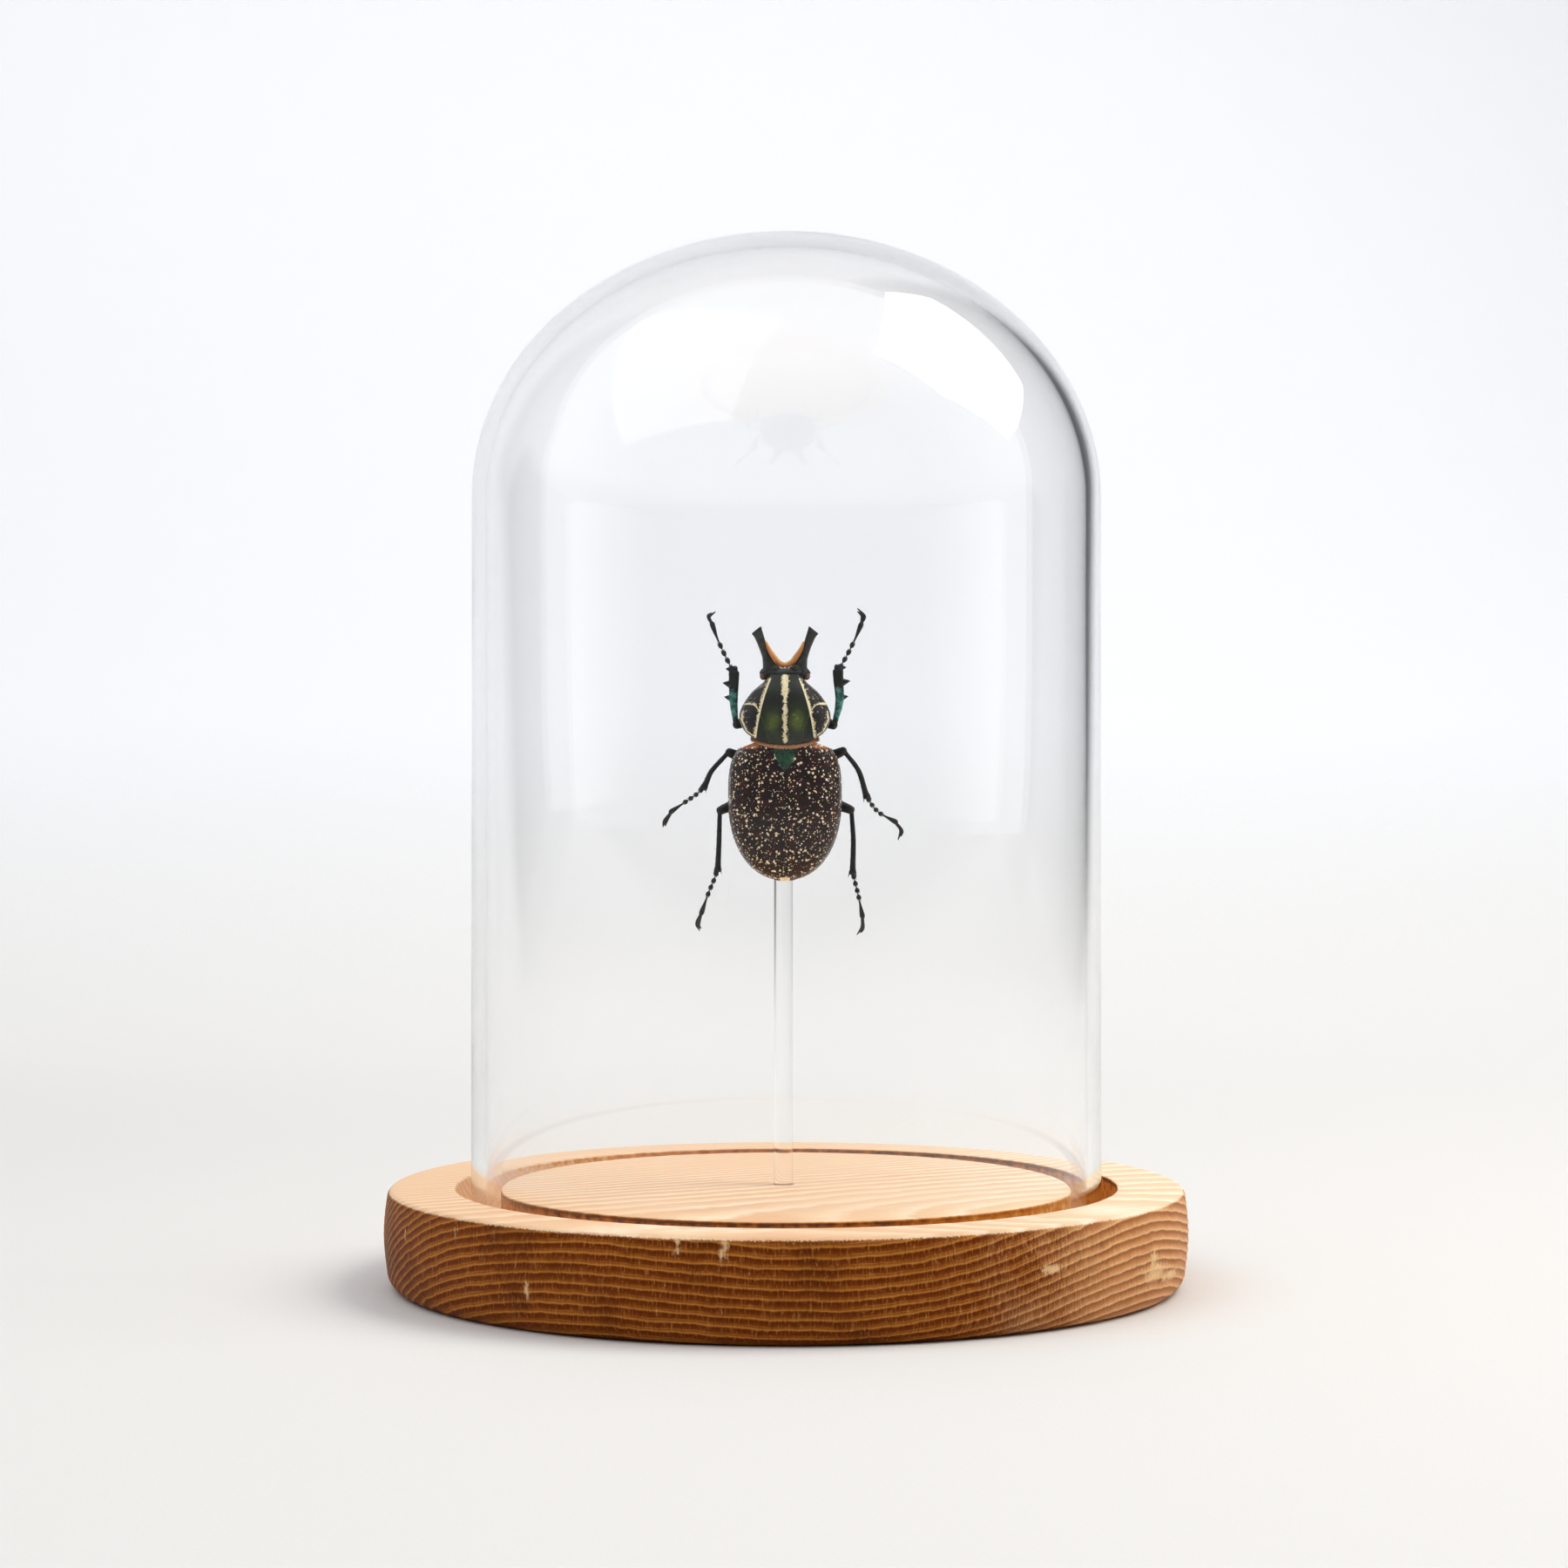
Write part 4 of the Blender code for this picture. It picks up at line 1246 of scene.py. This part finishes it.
def walking_tibia(name, route, finish):
    """A slender bowed shin that flares at its end, with spurs and a row of short spines."""
    knee, shin, ankle = route[1:4]
    start = knee + unit(shin - knee) * 0.35
    end = ankle + unit(shin - ankle) * 0.9
    spans = [(*start, 0.36, 0.34), (*shin, 0.4, 0.36), (*end, 0.46, 0.4), (*ankle, 0.62, 0.48)]
    rows = smooth(spans, 12)
    shapes = [limb(rows, 20)]
    along = unit(rows[-1, :3] - rows[-4, :3])
    across = sideways(along)
    for place, length in SPURS:
        foot = ankle + across * 0.55 * place
        shapes.append(spike(foot, foot + along * length + across * 0.42 * place * length, 0.13))
    for i in range(8, len(rows) - 4, 4):
        edge = rows[i, :3] + across * rows[i, 3] * 0.8
        shapes.append(spike(edge, edge + across * 0.22 + along * 0.22, 0.06, 6))
    leg_piece(f"{name}_spurred_shin", roughened(join(*shapes), 0.02, 0.4), finish, f"{name}_tibia")


def claw(foot, over, tip, swing):
    """One hooked claw, set a little to one side of its fellow."""
    rows = [(*foot, 0.26, 0.2), (*(over + swing), 0.26, 0.2), (*(tip + 1.6 * swing), 0.09, 0.07)]
    return limb(smooth(rows, 8), 10)


def tarsus(name, route, finish):
    """Four flared toe joints, a thick last joint and two claws."""
    ankle, *toes, over, tip = route[3:]
    end = toes[-1] + (over - toes[-1]) * 0.25
    path = smooth([ankle, *toes, end], 24)
    reach = np.concatenate([[0], np.cumsum(np.linalg.norm(np.diff(path, axis=0), axis=1))])

    def on_path(share):
        return np.array([np.interp(share, reach / reach[-1], path[:, axis]) for axis in range(3)])

    shapes = []
    for joint in range(TOE_JOINTS):
        first, last = (BEADS_END * (joint + part) / TOE_JOINTS for part in (0.03, 0.97))
        rows = [
            (*on_path(first + (last - first) * share), width, width)
            for share, width in BEAD
        ]
        shapes.append(limb(smooth(rows, 3), 12))
        along = unit(on_path(last) - on_path(first))
        for side in (-1, 1):
            outward = sideways(along) * side
            root = on_path(last) - along * 0.12 + outward * 0.14
            shapes.append(spike(root, root + along * 0.36 + outward * 0.22, 0.07, 6))
    last_joint = [
        (*on_path(BEADS_END + (1 - BEADS_END) * share), width, width * 0.9)
        for share, width in LAST_JOINT
    ]
    shapes.append(limb(smooth(last_joint, 5), 16))
    swing = sideways(tip - end) * 0.12
    hook = tip - over
    shapes += [claw(end, over, tip, swing), claw(end, over + hook * 0.12, tip - hook * 0.3, -swing)]
    leg_piece(f"{name}_foot", join(*shapes), finish, f"{name}_tarsus")


# ---------------- studio


def staged(name, shape, finish):
    item = added(name, mesh_of(name, shape))
    item.data.materials.append(finish)
    return item


def backdrop():
    """A pale floor that curves up into a glowing wall, and fades beyond the picture's right and left."""
    paper = Finish("studio_paper", Roughness=0.8, Specular_IOR_Level=0.2)
    across, back, up = (paper.axis(paper.place, name) for name in "XYZ")
    right = paper.range(across, 400.0, 560.0, 1.0, 0.15)
    left = paper.range(across, -950.0, -1400.0, 1.0, 0.3)
    faded = paper.math("SUBTRACT", 1.0, paper.math("MULTIPLY", right, left))
    faded = paper.math("MULTIPLY", faded, paper.range(back, 350.0, 650.0))
    near = paper.range(back, -500.0, -1800.0, 0.0, 0.8)
    lit = paper.math("SUBTRACT", 1.0, paper.math("MAXIMUM", faded, near))
    fleck = paper.range(paper.clouds(0.6, detail=3), 0.3, 0.7, -0.02, 0.02)
    rise = paper.math("ADD", paper.range(up, 0.0, 420.0), fleck)
    tone = paper.ramp(rise, (0.0, "dfddda"), (0.15, "eaebee"), (1.0, "f4f6f9"))
    paper.set(Base_Color=paper.mix(lit, "000000", tone))
    paper.set(Emission_Color=paper.ramp(rise, (0.0, "eef3f9"), (1.0, "f8f9ff")))
    far_glow = paper.range(back, 150.0, 750.0, 0.0, 0.23)
    glow = paper.math("ADD", far_glow, paper.range(up, 60.0, 500.0, 0.0, 0.07))
    paper.set(Emission_Strength=paper.math("MULTIPLY", lit, glow))
    bend = rounded_corner((400, 500), 500, -90, 0, 24)
    profile = [(-7000, 0), (-600, 0), *bend, (900, 2600)]
    rows = [[(x, y, z) for x in (-6000, 6000)] for y, z in profile]
    staged("backdrop", skin(np.array(rows, float), round_rows=False), paper.material)


def light_panel(name, directions, distance, strength, tone):
    """A flat lamp whose corners lie in given directions (degrees round from the front, and up)."""
    turn, tilt = np.radians(directions).T
    corners = np.stack([np.sin(turn) * np.cos(tilt), -np.cos(turn) * np.cos(tilt), np.sin(tilt)], axis=1)
    facing = unit(corners.mean(0))
    corners = corners / (corners @ facing)[:, None] * distance + (0, 0, 100.0)
    glow = bpy.data.materials.new(name)
    glow.use_nodes = True
    glow.node_tree.nodes.clear()
    lamp = add_node(glow.node_tree, "Emission", {"Color": tone, "Strength": strength})
    add_node(glow.node_tree, "OutputMaterial", {0: lamp.outputs[0]})
    panel = staged(name, (corners, [tuple(range(len(corners)))]), glow)
    panel.visible_camera = False
    panel.visible_transmission = False


def surround():
    """A bright room, but dim low down behind the camera, so that reflections in the glass stay dark."""
    world = bpy.data.worlds.new("studio")
    bpy.context.scene.world = world
    world.use_nodes = True
    tree = world.node_tree
    position = add_node(tree, "TexCoord", {}).outputs["Generated"]
    toward = add_node(tree, "SeparateXYZ", {0: position}).outputs
    behind = add_node(tree, "MapRange", {"Value": toward["Y"], "From Min": 0.0, "From Max": -0.6})
    low = add_node(tree, "MapRange", {"Value": toward["Z"], "From Min": 0.92, "From Max": 0.6})
    dim = add_node(tree, "Math", {0: behind.outputs[0], 1: low.outputs[0]}, operation="MULTIPLY")
    strength = add_node(tree, "MapRange", {"Value": dim.outputs[0], "To Min": 1.06, "To Max": 0.12})
    sky = tree.nodes["Background"].inputs
    feed(tree, sky["Color"], "f9fafc")
    feed(tree, sky["Strength"], strength.outputs[0])


def camera():
    """The photo's camera, as solved from the outlines of the base and the dome."""
    lens = bpy.data.cameras.new("camera")
    lens.lens = 75.4
    lens.clip_start = 0.01
    eye = added("camera", lens)
    eye.location = Vector((-0.35, -523.7, 79.2)) * MM
    eye.rotation_euler = (math.radians(90), 0, 0)
    bpy.context.scene.camera = eye


def build():
    dark = {"Coat_Weight": 0.3, "Specular_IOR_Level": 0.35}
    black = chitin("black_chitin", "0d0e0f", "2b2d2c", "30443b", 0.34, **dark)
    metal = {"Coat_Weight": 0.4, "Metallic": 0.2}
    emerald = chitin("emerald_chitin", "041a12", "1f5a3a", "62936c", 0.3, **metal)
    wing = wing_case()

    wooden_base(torched_pine())
    glass_dome(clear_glass("clear_glass", 1.5, "fdfefd", 22.0, 0.02))
    display_rod(clear_glass("clear_acrylic", 1.49, "fafcf7", 9.0, 0.01))

    head(black)
    eyes(eye_lens())
    antennae(black)
    prothorax(shield())
    thorax(black, bristle("straw_setae", "8a6a3c", "dcc48d"))
    abdomen(black)
    pygidium(wing)
    scutellum(emerald)
    elytron(-1, "elytron_left", wing)
    elytron(1, "elytron_right", wing)
    horn_fringe(bristle("orange_setae", "ff9526", "ffcb78"))
    collar_fringe(bristle("rust_setae", "c06a32", "ffc796"))
    green = shin_green()
    for name, path in LEG_PATHS.items():
        pair = name.split("_")[0]
        route = [at(*place, up) for place, up in zip(path, LEG_HEIGHTS[pair])]
        femur(name, route, THIGH_BOW[pair], black)
        if name in SHIN_TEETH:
            fore_tibia(name, route, green)
        else:
            walking_tibia(name, route, black)
        tarsus(name, route, black)

    backdrop()
    surround()
    right_window = ((133, 65), (136, 54), (122, 43), (114, 33), (94, 23), (87, 20), (66, 38), (50, 59))
    light_panel("right_softbox", right_window, 700, 5.5, "fffdf8")
    light_panel("left_softbox", ((-114, 57), (-4, 81), (-20, 30), (-60, 18)), 900, 1.8, "fbfcff")
    camera()
    bpy.context.scene.view_settings.view_transform = "Standard"


build()
